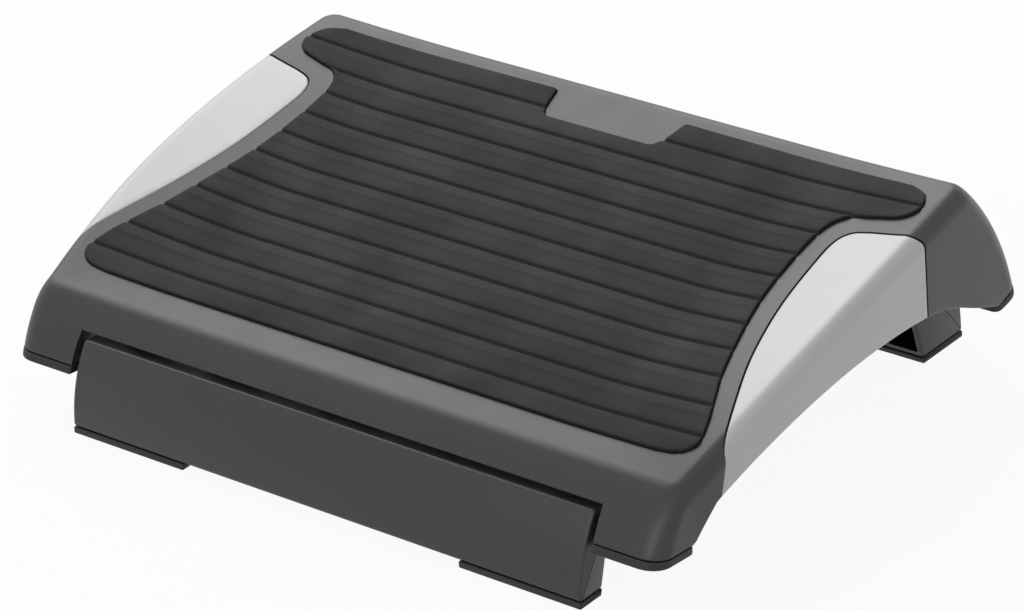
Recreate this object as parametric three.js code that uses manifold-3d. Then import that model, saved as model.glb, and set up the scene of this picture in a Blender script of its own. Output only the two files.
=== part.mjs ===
// Tilting under desk footrest, in millimetres, +Z up, at its real size.
// The origin is on the floor at the middle of the footprint. +X is the right end, +Y the back.
import * as THREE from 'three';
import { mergeVertices } from 'three/addons/utils/BufferGeometryUtils.js';
import Module from 'manifold-3d';

const wasm = await Module();
wasm.setup();

// Overall sizes
const HALF_WIDTH = 224;
const HALF_DEPTH = 175;
const TOP_HEIGHT = 103;
const TILT = THREE.MathUtils.degToRad(13.5);
const GAP = 0.3;
const OVERRUN = 30;

// Platform shell: its walls, its rounds and how far the loft reaches below the top plane
const WALL = 3.2;
const SIDE_DRAFT_SHARE = 0.03;
const SIDE_ROUND = 10;
const FRONT_ROUND = 14;
const REAR_ROUND = 9;
const CORNER_ROUND = 13;
const LOFT_MARGIN = 1;
const LOFT_REACH = TOP_HEIGHT + LOFT_MARGIN;
const RIB_DEPTH = 8;
const RIB_WIDTH = 2.5;
const RIB_ALONG_SHARES = [-0.4, 0, 0.4];
const RIB_ACROSS_SHARES = [-0.45, 0, 0.45];
const RIB_REACH_SHARE = 0.6;

// Between the corners the sides swell outwards and their top edges rise
const SWELL_OUT = 8;
const SWELL_UP = 12;
const SWELL_MIDDLE = -22;
const SWELL_FRONT_REACH = 122;
const SWELL_REAR_REACH = 160;
const SWELL_FLAT = 130;
const SWELL_POWER = 1.5;
const SWELL_FADE = 60;
const SWELL_FACET = 38;
const MAT_FACET = 20;

// Front and rear walls are arcs that run down to the floor over the legs
const FRONT_RADIUS = 85;
const REAR_RADIUS = 165;
const ARC_DROP = 101;
const ARC_CENTRE_HEIGHT = TOP_HEIGHT - ARC_DROP;

// Corner feet, from the heel outwards, and the rubber pads under them
const FOOT_FLOOR = 3;
const FRONT_HEEL_INSET = 38.5;
const FRONT_HEEL_HEIGHT = 34.2;
const FRONT_FOOT_SLOPE_SHARE = -0.09;
const REAR_HEEL_INSET = 31;
const REAR_HEEL_HEIGHT = 45.2;
const REAR_FOOT_SLOPE_SHARE = 0.184;
const CORNER_PAD = 4.5;

// Openings in the walls where the legs sit
const FRONT_NOTCH_HEIGHT = 54;
const FRONT_NOTCH_REACH = 28;
const REAR_NOTCH_HEIGHT = 80;
const REAR_NOTCH_REACH = 30;

// Rubber mat and its recess
const MAT_PROUD = 1.8;
const MAT_RECESS = 1.3;
const MAT_CLEARANCE = 0.5;
const GROOVE_COUNT = 11;
const GROOVE_PITCH = 21.3;
const GROOVE_CLOSING = 0.109;
const GROOVE_WIDTH = 2;
const GROOVE_DEPTH = 1.4;
const FIRST_GROOVE_INSET = 62.2;

// Side inserts and their screws
const INSERT_THICKNESS = 2.4;
const INSERT_BACKING = 2.5;
const INSERT_MARGIN = 3;
const SCREW_DROP = 9;
const SCREW_BOSS_RADIUS = 4.5;
const SCREW_BOSS_LENGTH = 1.5;
const SCREW_HEAD_RADIUS = 3.5;
const SCREW_HEAD_LENGTH = 2;
const SCREW_RADIUS = 1.5;
const SCREW_BITE = 1.2;
const SCREW_PLACE_SHARES = { front: -0.5, middle: -0.14, rear: 0.25 };

// Legs
const LEG_HALF_WIDTH = 177;
const LEG_SIDE_GAP = 4;
const FOOT_INNER_X = LEG_HALF_WIDTH + LEG_SIDE_GAP;
const LEG_WALL = 3;
const LEG_RIB = 2.5;
const LEG_CELLS = 7;
const LEG_PAD = 4;
const LEG_PAD_LENGTH = 81;
const LEG_LEAN_SHARE = 0.287;
const FRONT_LEG_DEPTH = 17.1;
const FRONT_LEG_HEIGHT = 51;
const REAR_LEG_DEPTH = 37.6;
const REAR_LEG_HEIGHT = 77;
const STOP_TAB_RISE = 9;
const STOP_TAB_THICKNESS = 4;
const STOP_TAB_WIDTH = 30;
const STOP_TAB_PLACES = [-1, 0, 1];
const STOP_TAB_SPACING = 80;

// Hinges: one axis for each leg, two clevis places on it
const FRONT_HINGE_INSET = 39;
const FRONT_HINGE_HEIGHT = 56;
const FRONT_RELIEF = 10.5;
const REAR_HINGE_INSET = 47;
const REAR_HINGE_HEIGHT = 84;
const REAR_RELIEF = 17;
const HINGE_END_INSET = 27;
const HINGE_X = LEG_HALF_WIDTH - HINGE_END_INSET;
const LUG_RADIUS = 7.5;
const LUG_WIDTH = 8;
const ARM_HALF_WIDTH = 6;
const FRONT_ARM = { along: -16, down: 16 };
const REAR_ARM = { along: 11, down: 22 };
const EAR_RADIUS = 8;
const EAR_WIDTH = 4;
const EAR_RISE = 40;
const PIN_RADIUS = 3;
const PIN_HEAD_RADIUS = 5;
const PIN_HEAD_LENGTH = 2;
const PIN_TAIL = 2.4;
const WASHER_THICKNESS = 1;
const WASHER_RADIUS = 6.5;
const CLIP_THICKNESS = 1;
const CLIP_RADIUS = 5.5;
const CLIP_GROOVE_RADIUS = 2.3;
const CLIP_MOUTH = THREE.MathUtils.degToRad(60);

// Facets
const CORNER_STEPS = 5;
const SIDE_STEPS = 10;
const ROUND_STEPS = 5;
const WALL_STEP = 7;
const ARC_STEPS = 6;
const TURN_STEPS = 16;
const EDGE_STEPS = 26;

// The side skirt's lower edge between the feet: shares of the half depth and of the top's height
const ARCH_SHARES = [
  [-0.68, 0.5], [-0.5, 0.61], [-0.3, 0.695], [-0.1, 0.743], [0.1, 0.756], [0.3, 0.738],
  [0.5, 0.68], [0.69, 0.535],
];
// The mat's right edge from its front corner to its rear ear: shares of half width and half depth
const MAT_FRONT_CORNER_SHARES = [[0.85, -0.711], [0.895, -0.705]];
const MAT_EDGE_SHARES = [
  [0.922, -0.692], [0.94, -0.667], [0.943, -0.635], [0.922, -0.555], [0.888, -0.46], [0.85, -0.345],
  [0.79, -0.08], [0.769, 0.12], [0.768, 0.295], [0.799, 0.377], [0.863, 0.402], [0.926, 0.424],
  [0.954, 0.474], [0.951, 0.524], [0.929, 0.574], [0.886, 0.598],
];
// The bare place in the mat's back edge
const MAT_NOTCH_SHARES = [[0.19, 0.612], [0.177, 0.56], [0.17, 0.51], [0.156, 0.487]];
// The insert's inner edge on the top, from the front end to the rear corner on the side wall
const INSERT_EDGE_SHARES = [
  [1.03, -0.666], [1, -0.627], [0.95, -0.485], [0.89, -0.29], [0.845, -0.06], [0.825, 0.16],
  [0.824, 0.26], [0.845, 0.31], [0.885, 0.328], [0.945, 0.338], [1, 0.35], [1.022, 0.375],
  [1.03, 0.387],
];
const INSERT_OUTER_SHARE = 1.08;

// The tilted platform is a group, so its pieces are made square to their own top plane
const platform = new THREE.Group();
platform.position.set(0, 0, TOP_HEIGHT);
platform.rotation.x = TILT;
platform.updateMatrix();
const floorToPlatform = platform.matrix.clone().invert();
const inPlatform = (geometry) => geometry.applyMatrix4(floorToPlatform);

const FRONT = {
  side: -1,
  radius: FRONT_RADIUS,
  round: FRONT_ROUND,
  centre: FRONT_RADIUS - HALF_DEPTH,
  hinge: [FRONT_HINGE_INSET - HALF_DEPTH, FRONT_HINGE_HEIGHT],
  relief: FRONT_RELIEF,
  arm: FRONT_ARM,
  legDepth: FRONT_LEG_DEPTH,
  legHeight: FRONT_LEG_HEIGHT,
  heel: FRONT_HEEL_INSET - HALF_DEPTH,
  heelHeight: FRONT_HEEL_HEIGHT,
  footSlope: FRONT_FOOT_SLOPE_SHARE,
  notchHeight: FRONT_NOTCH_HEIGHT,
  notchReach: FRONT_NOTCH_REACH,
};
const REAR = {
  side: 1,
  radius: REAR_RADIUS,
  round: REAR_ROUND,
  centre: HALF_DEPTH - REAR_RADIUS,
  hinge: [HALF_DEPTH - REAR_HINGE_INSET, REAR_HINGE_HEIGHT],
  relief: REAR_RELIEF,
  arm: REAR_ARM,
  legDepth: REAR_LEG_DEPTH,
  legHeight: REAR_LEG_HEIGHT,
  heel: HALF_DEPTH - REAR_HEEL_INSET,
  heelHeight: REAR_HEEL_HEIGHT,
  footSlope: REAR_FOOT_SLOPE_SHARE,
  notchHeight: REAR_NOTCH_HEIGHT,
  notchReach: REAR_NOTCH_REACH,
};
for (const end of [FRONT, REAR]) {
  const seat = new THREE.Vector3(0, end.centre, ARC_CENTRE_HEIGHT).applyMatrix4(floorToPlatform);
  end.along = seat.y;
  end.level = seat.z;
}

// Solids from closed geometries, and geometries from solids
function solid(geometry) {
  const bare = geometry.clone();
  bare.deleteAttribute('normal');
  bare.deleteAttribute('uv');
  const merged = mergeVertices(bare);
  return new wasm.Manifold(new wasm.Mesh({
    numProp: 3,
    vertProperties: new Float32Array(merged.attributes.position.array),
    triVerts: new Uint32Array(merged.index.array),
  }));
}

function geometryOf(manifold) {
  const mesh = manifold.getMesh();
  const geometry = new THREE.BufferGeometry();
  geometry.setAttribute('position', new THREE.BufferAttribute(mesh.vertProperties, mesh.numProp));
  geometry.setIndex(new THREE.BufferAttribute(mesh.triVerts, 1));
  geometry.computeVertexNormals();
  return geometry;
}

// How far the sides swell at a place along the platform: 0 at the corners, 1 at the fullest
function swell(along) {
  const reach = along < SWELL_MIDDLE ? SWELL_FRONT_REACH : SWELL_REAR_REACH;
  return Math.max(1 - ((along - SWELL_MIDDLE) / reach) ** 2, 0);
}

// Lifts a solid made under a flat top plane by the rise of the sides, which fades with depth
function swollen(flat, facet) {
  return flat.refineToLength(facet).warp((point) => {
    const [across, along, level] = point;
    const out = (Math.abs(across) - SWELL_FLAT) / (HALF_WIDTH + SWELL_OUT - SWELL_FLAT);
    const fade = Math.min(Math.max(1 + level / SWELL_FADE, 0), 1);
    point[2] += SWELL_UP * Math.max(out, 0) ** SWELL_POWER * swell(along) * fade;
  });
}

const joined = (parts) => parts.reduce((whole, part) => whole.add(part));

// Prisms: an outline in y and z drawn out along X, or one in x and y drawn out along Z
function extruded(points, depth) {
  const shape = new THREE.Shape(points.map(([a, b]) => new THREE.Vector2(a, b)));
  return new THREE.ExtrudeGeometry(shape, { depth, bevelEnabled: false });
}

function prismX(points, low, high) {
  const turn = new THREE.Matrix4().makeBasis(
    new THREE.Vector3(0, 1, 0), new THREE.Vector3(0, 0, 1), new THREE.Vector3(1, 0, 0));
  return extruded(points, high - low).applyMatrix4(turn).translate(low, 0, 0);
}

const prismZ = (points, low, high) => extruded(points, high - low).translate(0, 0, low);

function boxBetween([x0, y0, z0], [x1, y1, z1]) {
  return new THREE.BoxGeometry(x1 - x0, y1 - y0, z1 - z0)
    .translate((x0 + x1) / 2, (y0 + y1) / 2, (z0 + z1) / 2);
}

function rodX(radius, low, high, y, z) {
  return new THREE.CylinderGeometry(radius, radius, high - low, TURN_STEPS)
    .rotateZ(Math.PI / 2)
    .translate((low + high) / 2, y, z);
}

// A span along X on the right, or its mirror image on the left
const span = (hand, inner, outer) => (hand > 0 ? [inner, outer] : [-outer, -inner]);

// Platform body: rings of the outline, set at levels below the top plane
function wallEdge(end, level, inset) {
  const round = end.round - inset;
  const reach = end.radius - end.round;
  const rise = -end.round - end.level;
  const start = Math.sqrt(reach ** 2 - rise ** 2);
  const above = level + end.round;
  if (above > round * rise / reach) {
    return end.along + end.side * (start + Math.sqrt(Math.max(round ** 2 - above ** 2, 0)));
  }
  const height = Math.max(level - end.level, 0);
  return end.along + end.side * Math.sqrt((end.radius - inset) ** 2 - height ** 2);
}

function roundDraw(level, inset) {
  const round = SIDE_ROUND - inset;
  const above = Math.max(level + SIDE_ROUND, 0);
  return round - Math.sqrt(Math.max(round ** 2 - above ** 2, 0));
}

function sideEdge(along, level, inset) {
  const wall = HALF_WIDTH + SWELL_OUT * swell(along) + SIDE_DRAFT_SHARE * level;
  return wall - inset - roundDraw(level, inset);
}

function ring(level, inset) {
  const corner = CORNER_ROUND - inset - roundDraw(level, inset);
  const front = wallEdge(FRONT, level, inset) + corner;
  const rear = wallEdge(REAR, level, inset) - corner;
  const right = [];
  for (let step = 0; step <= CORNER_STEPS; step += 1) {
    const angle = Math.PI / 2 * (step / CORNER_STEPS - 1);
    const middle = sideEdge(front, level, inset) - corner;
    right.push([middle + corner * Math.cos(angle), front + corner * Math.sin(angle)]);
  }
  for (let step = 1; step < SIDE_STEPS; step += 1) {
    const along = THREE.MathUtils.lerp(front, rear, step / SIDE_STEPS);
    right.push([sideEdge(along, level, inset), along]);
  }
  for (let step = 0; step <= CORNER_STEPS; step += 1) {
    const angle = Math.PI / 2 * (step / CORNER_STEPS);
    const middle = sideEdge(rear, level, inset) - corner;
    right.push([middle + corner * Math.cos(angle), rear + corner * Math.sin(angle)]);
  }
  return [...right, ...right.map(([x, y]) => [-x, y]).reverse()];
}

function body(inset, reach = LOFT_REACH) {
  const levels = [];
  for (let step = 0; step <= ROUND_STEPS; step += 1) {
    const angle = Math.PI / 2 * (step / ROUND_STEPS);
    levels.push((SIDE_ROUND - inset) * Math.cos(angle) - SIDE_ROUND);
  }
  const steps = Math.round((reach - SIDE_ROUND) / WALL_STEP);
  for (let step = 1; step <= steps; step += 1) {
    levels.push(-SIDE_ROUND - (reach - SIDE_ROUND) * step / steps);
  }
  const rings = levels.map((level) => ring(level, inset));
  const count = rings[0].length;
  const positions = rings.flatMap((points, at) => points.flatMap(([x, y]) => [x, y, levels[at]]));
  const index = [];
  for (let at = 0; at + 1 < rings.length; at += 1) {
    const upper = at * count;
    const lower = upper + count;
    for (let here = 0; here < count; here += 1) {
      const next = (here + 1) % count;
      index.push(lower + here, lower + next, upper + here, upper + here, lower + next, upper + next);
    }
  }
  const last = (rings.length - 1) * count;
  const top = rings[0].map(([x, y]) => new THREE.Vector2(x, y));
  const bottom = rings[rings.length - 1].map(([x, y]) => new THREE.Vector2(x, y));
  for (const [a, b, c] of THREE.ShapeUtils.triangulateShape(top, [])) {
    index.push(a, b, c);
  }
  for (const [a, b, c] of THREE.ShapeUtils.triangulateShape(bottom, [])) {
    index.push(last + c, last + b, last + a);
  }
  const geometry = new THREE.BufferGeometry();
  geometry.setAttribute('position', new THREE.Float32BufferAttribute(positions, 3));
  geometry.setIndex(index);
  return swollen(solid(geometry), SWELL_FACET);
}

// Outlines, each in floor coordinates
const placed = (shares) => shares.map(([a, b]) => [a * HALF_WIDTH, b * HALF_DEPTH]);

function smooth(points, steps) {
  const curve = new THREE.SplineCurve(points.map(([a, b]) => new THREE.Vector2(a, b)));
  return curve.getPoints(steps).map((point) => [point.x, point.y]);
}

// Moves each point of a closed outline outwards along the mean of its two edges' normals
function grown(points, distance) {
  const area = THREE.ShapeUtils.area(points.map(([a, b]) => new THREE.Vector2(a, b)));
  return points.map(([a, b], at) => {
    const [pa, pb] = points[(at + points.length - 1) % points.length];
    const [na, nb] = points[(at + 1) % points.length];
    const before = new THREE.Vector2(b - pb, pa - a).normalize();
    const after = new THREE.Vector2(nb - b, a - na).normalize();
    const normal = before.add(after).normalize();
    const shift = Math.sign(area) * distance;
    return [a + normal.x * shift, b + normal.y * shift];
  });
}

const footHeight = (end, y) => end.heelHeight + end.footSlope * (y - end.heel);

function skirtEdge() {
  const arch = ARCH_SHARES.map(([a, b]) => [a * HALF_DEPTH, b * TOP_HEIGHT]);
  const out = HALF_DEPTH + OVERRUN;
  return [
    [-out, footHeight(FRONT, -out)],
    [FRONT.heel, FRONT.heelHeight],
    ...smooth(arch, EDGE_STEPS / 2),
    [REAR.heel, REAR.heelHeight],
    [out, footHeight(REAR, out)],
  ];
}

function matOutline() {
  const cos = Math.cos(TILT);
  const front = placed(MAT_FRONT_CORNER_SHARES);
  const edge = smooth(placed(MAT_EDGE_SHARES), EDGE_STEPS);
  const notch = placed(MAT_NOTCH_SHARES);
  const right = [...front, ...edge, ...notch];
  const left = right.map(([x, y]) => [-x, y]).reverse();
  return [...right, ...left].map(([x, y]) => [x, y / cos]);
}

function insertOutline(hand) {
  const inner = smooth(placed(INSERT_EDGE_SHARES), EDGE_STEPS);
  const [, frontEnd] = inner[0];
  const [, rearEnd] = inner[inner.length - 1];
  const outer = HALF_WIDTH * INSERT_OUTER_SHARE;
  const outline = [...inner, [outer, rearEnd], [outer, frontEnd]];
  return outline.map(([x, y]) => [hand * x, y]);
}

const tall = TOP_HEIGHT + HALF_DEPTH;
const column = (outline) => solid(inPlatform(prismZ(outline, -tall, tall)));

// The legs' and the walls' common arc, in floor coordinates
function arcY(end, z, inset = 0) {
  return end.centre + end.side * Math.sqrt((end.radius - inset) ** 2 - (z - ARC_CENTRE_HEIGHT) ** 2);
}

function arcPoints(end, low, high, inset = 0) {
  const points = [];
  for (let step = 0; step <= ARC_STEPS; step += 1) {
    const z = THREE.MathUtils.lerp(low, high, step / ARC_STEPS);
    points.push([arcY(end, z, inset), z]);
  }
  return points;
}

// Stations along a hinge, from the clip on the inner side to the pin's head
const lugInner = HINGE_X - LUG_WIDTH / 2;
const lugOuter = HINGE_X + LUG_WIDTH / 2;
const innerEar = [lugInner - GAP - EAR_WIDTH, lugInner - GAP];
const washerSpan = [lugOuter + GAP, lugOuter + GAP + WASHER_THICKNESS];
const outerEar = [washerSpan[1] + GAP, washerSpan[1] + GAP + EAR_WIDTH];
const clipSpan = [innerEar[0] - GAP - CLIP_THICKNESS, innerEar[0] - GAP];
const pinSpan = [clipSpan[0] - PIN_TAIL, outerEar[1] + GAP];
const clevis = [pinSpan[0] - GAP, pinSpan[1] + PIN_HEAD_LENGTH + GAP];
const boreRadius = PIN_RADIUS + GAP;

const HANDS = [{ name: 'left', sign: -1 }, { name: 'right', sign: 1 }];
const ENDS = [{ name: 'front', end: FRONT }, { name: 'rear', end: REAR }];

// Screws through the side walls, as places in the platform's frame
const screwStack = INSERT_THICKNESS + GAP + INSERT_BACKING;
const screwPlaces = Object.entries(SCREW_PLACE_SHARES).map(([name, share]) => {
  const along = share * HALF_DEPTH;
  return { name, along, wall: sideEdge(along, -SCREW_DROP - SWELL_UP * swell(along), 0) };
});

function lowerPart() {
  const out = HALF_DEPTH + OVERRUN;
  const outline = [...skirtEdge(), [out, -tall], [-out, -tall]];
  return solid(inPlatform(prismX(outline, -tall, tall)));
}

function footProfile(end, base, top, heelShift) {
  const toe = end.side * (HALF_DEPTH + OVERRUN);
  const heel = end.heel + end.side * heelShift;
  return [
    [heel, footHeight(end, heel) + base], [toe, footHeight(end, toe) + base],
    [toe, top], [heel, top],
  ];
}

function cornerFoot(end, hand, whole, hollow) {
  const [low, high] = span(hand, FOOT_INNER_X, HALF_WIDTH + OVERRUN);
  const block = solid(inPlatform(prismX(footProfile(end, 0, end.notchHeight, 0), low, high)));
  const [from, to] = span(hand, FOOT_INNER_X + WALL, HALF_WIDTH + OVERRUN);
  const well = footProfile(end, FOOT_FLOOR, end.notchHeight + OVERRUN, WALL);
  const space = solid(inPlatform(prismX(well, from, to))).intersect(hollow);
  return whole.intersect(block).subtract(space);
}

function ears(end, hand, inner) {
  const [y, z] = end.hinge;
  const plate = [
    [y - EAR_RADIUS, z], [y + EAR_RADIUS, z],
    [y + EAR_RADIUS, z + EAR_RISE], [y - EAR_RADIUS, z + EAR_RISE],
  ];
  return [innerEar, outerEar].map(([a, b]) => {
    const [low, high] = span(hand, a, b);
    const ear = solid(prismX(plate, low, high)).add(solid(rodX(EAR_RADIUS, low, high, y, z)));
    return solid(inPlatform(geometryOf(ear))).intersect(inner);
  });
}

function stiffeners(inner) {
  const low = -WALL - RIB_DEPTH;
  const high = SWELL_UP;
  const half = RIB_WIDTH / 2;
  const reach = HALF_DEPTH * RIB_REACH_SHARE;
  const ribs = RIB_ALONG_SHARES.map((share) => share * HALF_DEPTH).map((y) => solid(
    boxBetween([-HALF_WIDTH, y - half, low], [HALF_WIDTH, y + half, high])));
  const spines = RIB_ACROSS_SHARES.map((share) => share * HALF_WIDTH).map((x) => solid(
    boxBetween([x - half, -reach, low], [x + half, reach, high])));
  return [...ribs, ...spines].map((rib) => rib.intersect(inner));
}

function platformShell() {
  const whole = body(0);
  const hollow = body(WALL, LOFT_REACH + OVERRUN);
  const inner = body(WALL / 2, LOFT_REACH + OVERRUN);
  const behind = body(screwStack, LOFT_REACH + OVERRUN);
  const seat = body(INSERT_THICKNESS + GAP, LOFT_REACH + OVERRUN);
  const backed = joined(HANDS.map(({ sign }) => column(grown(insertOutline(sign), INSERT_MARGIN))));
  const pockets = joined(HANDS.map(({ sign }) => column(insertOutline(sign)))).subtract(seat);
  let shell = whole.subtract(hollow.subtract(backed).add(behind));
  shell = joined([shell, ...stiffeners(inner)]);
  const bosses = HANDS.flatMap(({ sign }) => screwPlaces.map(({ along, wall }) => {
    const [low, high] = span(sign, wall - screwStack - SCREW_BOSS_LENGTH, wall - screwStack + GAP);
    return solid(rodX(SCREW_BOSS_RADIUS, low, high, along, -SCREW_DROP));
  }));
  shell = joined([shell, ...bosses]).subtract(pockets);
  shell = shell.subtract(lowerPart());
  for (const { end } of ENDS) {
    const near = end.side * (HALF_DEPTH - end.notchReach);
    const far = end.side * (HALF_DEPTH + OVERRUN);
    const notch = boxBetween(
      [-FOOT_INNER_X, Math.min(near, far), -tall], [FOOT_INNER_X, Math.max(near, far), end.notchHeight]);
    shell = shell.subtract(solid(inPlatform(notch)));
    for (const { sign } of HANDS) {
      shell = joined([shell, cornerFoot(end, sign, whole, hollow), ...ears(end, sign, inner)]);
      const [low, high] = span(sign, clevis[0], clevis[1]);
      shell = shell.subtract(solid(inPlatform(rodX(boreRadius, low, high, ...end.hinge))));
    }
  }
  const recess = prismZ(grown(matOutline(), MAT_CLEARANCE), -MAT_RECESS, OVERRUN);
  shell = shell.subtract(swollen(solid(recess), MAT_FACET));
  for (const { sign } of HANDS) {
    for (const { along, wall } of screwPlaces) {
      const [low, high] = span(sign, wall - screwStack - OVERRUN / 2, wall);
      shell = shell.subtract(solid(rodX(SCREW_RADIUS + GAP, low, high, along, -SCREW_DROP)));
    }
  }
  return shell;
}

function rubberMat() {
  const outline = matOutline();
  let mat = solid(prismZ(outline, GAP - MAT_RECESS, MAT_PROUD));
  for (let number = 0; number < GROOVE_COUNT; number += 1) {
    const at = FIRST_GROOVE_INSET - HALF_DEPTH + number * (GROOVE_PITCH - GROOVE_CLOSING * number);
    const half = GROOVE_WIDTH / 2;
    mat = mat.subtract(solid(boxBetween(
      [-HALF_WIDTH, at - half, MAT_PROUD - GROOVE_DEPTH], [HALF_WIDTH, at + half, MAT_PROUD + OVERRUN])));
  }
  return swollen(mat, MAT_FACET);
}

function sideInsert(hand) {
  const skin = body(0).subtract(body(INSERT_THICKNESS, LOFT_REACH + OVERRUN));
  let insert = skin.intersect(column(grown(insertOutline(hand), -GAP))).subtract(lowerPart());
  for (const { along, wall } of screwPlaces) {
    const [low, high] = span(hand, wall - screwStack, wall - INSERT_THICKNESS + SCREW_BITE + GAP);
    insert = insert.subtract(solid(rodX(SCREW_RADIUS + GAP, low, high, along, -SCREW_DROP)));
  }
  return insert;
}

function cornerPad(end, hand) {
  const [low, high] = span(hand, FOOT_INNER_X, HALF_WIDTH + OVERRUN);
  const toe = end.side * (HALF_DEPTH + OVERRUN);
  const profile = [
    [end.heel, footHeight(end, end.heel) - GAP], [toe, footHeight(end, toe) - GAP],
    [toe, footHeight(end, toe) - GAP - CORNER_PAD],
    [end.heel, footHeight(end, end.heel) - GAP - CORNER_PAD],
  ];
  return body(0).intersect(solid(inPlatform(prismX(profile, low, high))));
}

// Legs, made in floor coordinates and then moved so that the hinge axis is their origin
const legBase = LEG_PAD + GAP;
const legInnerY = (end, z) => end.side * (HALF_DEPTH - end.legDepth - LEG_LEAN_SHARE * z);

function legProfile(end) {
  return [
    ...arcPoints(end, legBase, end.legHeight),
    [legInnerY(end, end.legHeight), end.legHeight], [legInnerY(end, legBase), legBase],
  ];
}

function cellProfile(end) {
  const low = legBase + LEG_WALL;
  const high = end.legHeight - LEG_WALL;
  const open = end.side * OVERRUN;
  return [
    ...arcPoints(end, low, high, LEG_WALL),
    [legInnerY(end, high) - open, high], [legInnerY(end, low) - open, low],
  ];
}

function cellSpans() {
  const across = 2 * lugInner;
  const cell = (across - (LEG_CELLS - 1) * LEG_RIB) / LEG_CELLS;
  const spans = [];
  for (let number = 0; number < LEG_CELLS; number += 1) {
    const low = -lugInner + number * (cell + LEG_RIB);
    spans.push([low, low + cell]);
  }
  for (const { sign } of HANDS) {
    spans.push(span(sign, lugOuter, LEG_HALF_WIDTH - LEG_WALL));
  }
  return spans;
}

function lug(end, hand) {
  const [y, z] = end.hinge;
  const [low, high] = span(hand, lugInner, lugOuter);
  const line = new THREE.Vector2(end.arm.along, -end.arm.down);
  const across = new THREE.Vector2(-line.y, line.x).normalize().multiplyScalar(ARM_HALF_WIDTH);
  const arm = [
    [y + across.x, z + across.y], [y + line.x + across.x, z + line.y + across.y],
    [y + line.x - across.x, z + line.y - across.y], [y - across.x, z - across.y],
  ];
  return solid(rodX(LUG_RADIUS, low, high, y, z)).add(solid(prismX(arm, low, high)));
}

function stopTab(end, place) {
  const low = end.legHeight - LEG_WALL;
  const high = end.legHeight + STOP_TAB_RISE;
  const inset = WALL + GAP;
  const outline = [
    ...arcPoints(end, low, high, inset),
    ...arcPoints(end, low, high, inset + STOP_TAB_THICKNESS).reverse(),
  ];
  const middle = place * STOP_TAB_SPACING;
  return solid(prismX(outline, middle - STOP_TAB_WIDTH / 2, middle + STOP_TAB_WIDTH / 2));
}

function leg(end) {
  const [y, z] = end.hinge;
  let made = solid(prismX(legProfile(end), -LEG_HALF_WIDTH, LEG_HALF_WIDTH));
  for (const [low, high] of cellSpans()) {
    made = made.subtract(solid(prismX(cellProfile(end), low, high)));
  }
  for (const { sign } of HANDS) {
    const [low, high] = span(sign, clevis[0], clevis[1]);
    made = made.subtract(solid(rodX(end.relief, low, high, y, z)));
    made = made.add(lug(end, sign));
    made = made.subtract(solid(rodX(boreRadius, low, high, y, z)));
  }
  made = joined([made, ...STOP_TAB_PLACES.map((place) => stopTab(end, place))]);
  return geometryOf(made).translate(0, -y, -z);
}

function legPad(end, hand) {
  const [y, z] = end.hinge;
  const [low, high] = span(hand, LEG_HALF_WIDTH - LEG_PAD_LENGTH, LEG_HALF_WIDTH);
  const outline = [
    [arcY(end, 0), 0], [arcY(end, LEG_PAD), LEG_PAD],
    [legInnerY(end, LEG_PAD), LEG_PAD], [legInnerY(end, 0), 0],
  ];
  return prismX(outline, low, high).translate(0, -y, -z);
}

// Turned pieces are lathed about Y from a profile of radius and station, then laid along X
function turned(profile, hand) {
  const points = profile.map(([radius, station]) => new THREE.Vector2(radius, station));
  return new THREE.LatheGeometry(points, TURN_STEPS).rotateZ(hand > 0 ? -Math.PI / 2 : Math.PI / 2);
}

function hingePin(hand) {
  const [grooveLow, grooveHigh] = [clipSpan[0] - GAP, clipSpan[1] + GAP];
  return turned([
    [0, pinSpan[0]], [PIN_RADIUS, pinSpan[0]], [PIN_RADIUS, grooveLow],
    [CLIP_GROOVE_RADIUS, grooveLow], [CLIP_GROOVE_RADIUS, grooveHigh], [PIN_RADIUS, grooveHigh],
    [PIN_RADIUS, pinSpan[1]], [PIN_HEAD_RADIUS, pinSpan[1]],
    [PIN_HEAD_RADIUS, pinSpan[1] + PIN_HEAD_LENGTH], [0, pinSpan[1] + PIN_HEAD_LENGTH],
  ], hand);
}

function frictionWasher(hand) {
  const [low, high] = washerSpan;
  return turned([
    [boreRadius, low], [WASHER_RADIUS, low], [WASHER_RADIUS, high], [boreRadius, high],
    [boreRadius, low],
  ], hand);
}

function pinClip(hand) {
  const inner = CLIP_GROOVE_RADIUS + GAP;
  const from = -Math.PI / 2 + CLIP_MOUTH / 2;
  const turn = 2 * Math.PI - CLIP_MOUTH;
  const arc = (radius) => Array.from({ length: TURN_STEPS + 1 }, (_, step) => {
    const angle = from + turn * step / TURN_STEPS;
    return [radius * Math.cos(angle), radius * Math.sin(angle)];
  });
  const [low, high] = span(hand, clipSpan[0], clipSpan[1]);
  return prismX([...arc(CLIP_RADIUS), ...arc(inner).reverse()], low, high);
}

function insertScrew(hand, wall) {
  const face = wall - screwStack - SCREW_BOSS_LENGTH - GAP;
  const tip = wall - INSERT_THICKNESS + SCREW_BITE;
  return turned([
    [0, face - SCREW_HEAD_LENGTH], [SCREW_HEAD_RADIUS, face - SCREW_HEAD_LENGTH],
    [SCREW_HEAD_RADIUS, face], [SCREW_RADIUS, face], [SCREW_RADIUS, tip], [0, tip],
  ], hand);
}

// Finishes
const finish = (color, roughness, metalness = 0) => ({ color, roughness, metalness });
const SHELL_PLASTIC = finish(0x4a4b4d, 0.45);
const INSERT_PLASTIC = finish(0xc4c6c8, 0.35, 0.3);
const MAT_RUBBER = finish(0x3a3a39, 0.85);
const PAD_RUBBER = finish(0x161616, 0.9);
const PIN_STEEL = finish(0xa8abad, 0.3, 1);
const WASHER_NYLON = finish(0xe6e2d6, 0.55);

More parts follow.
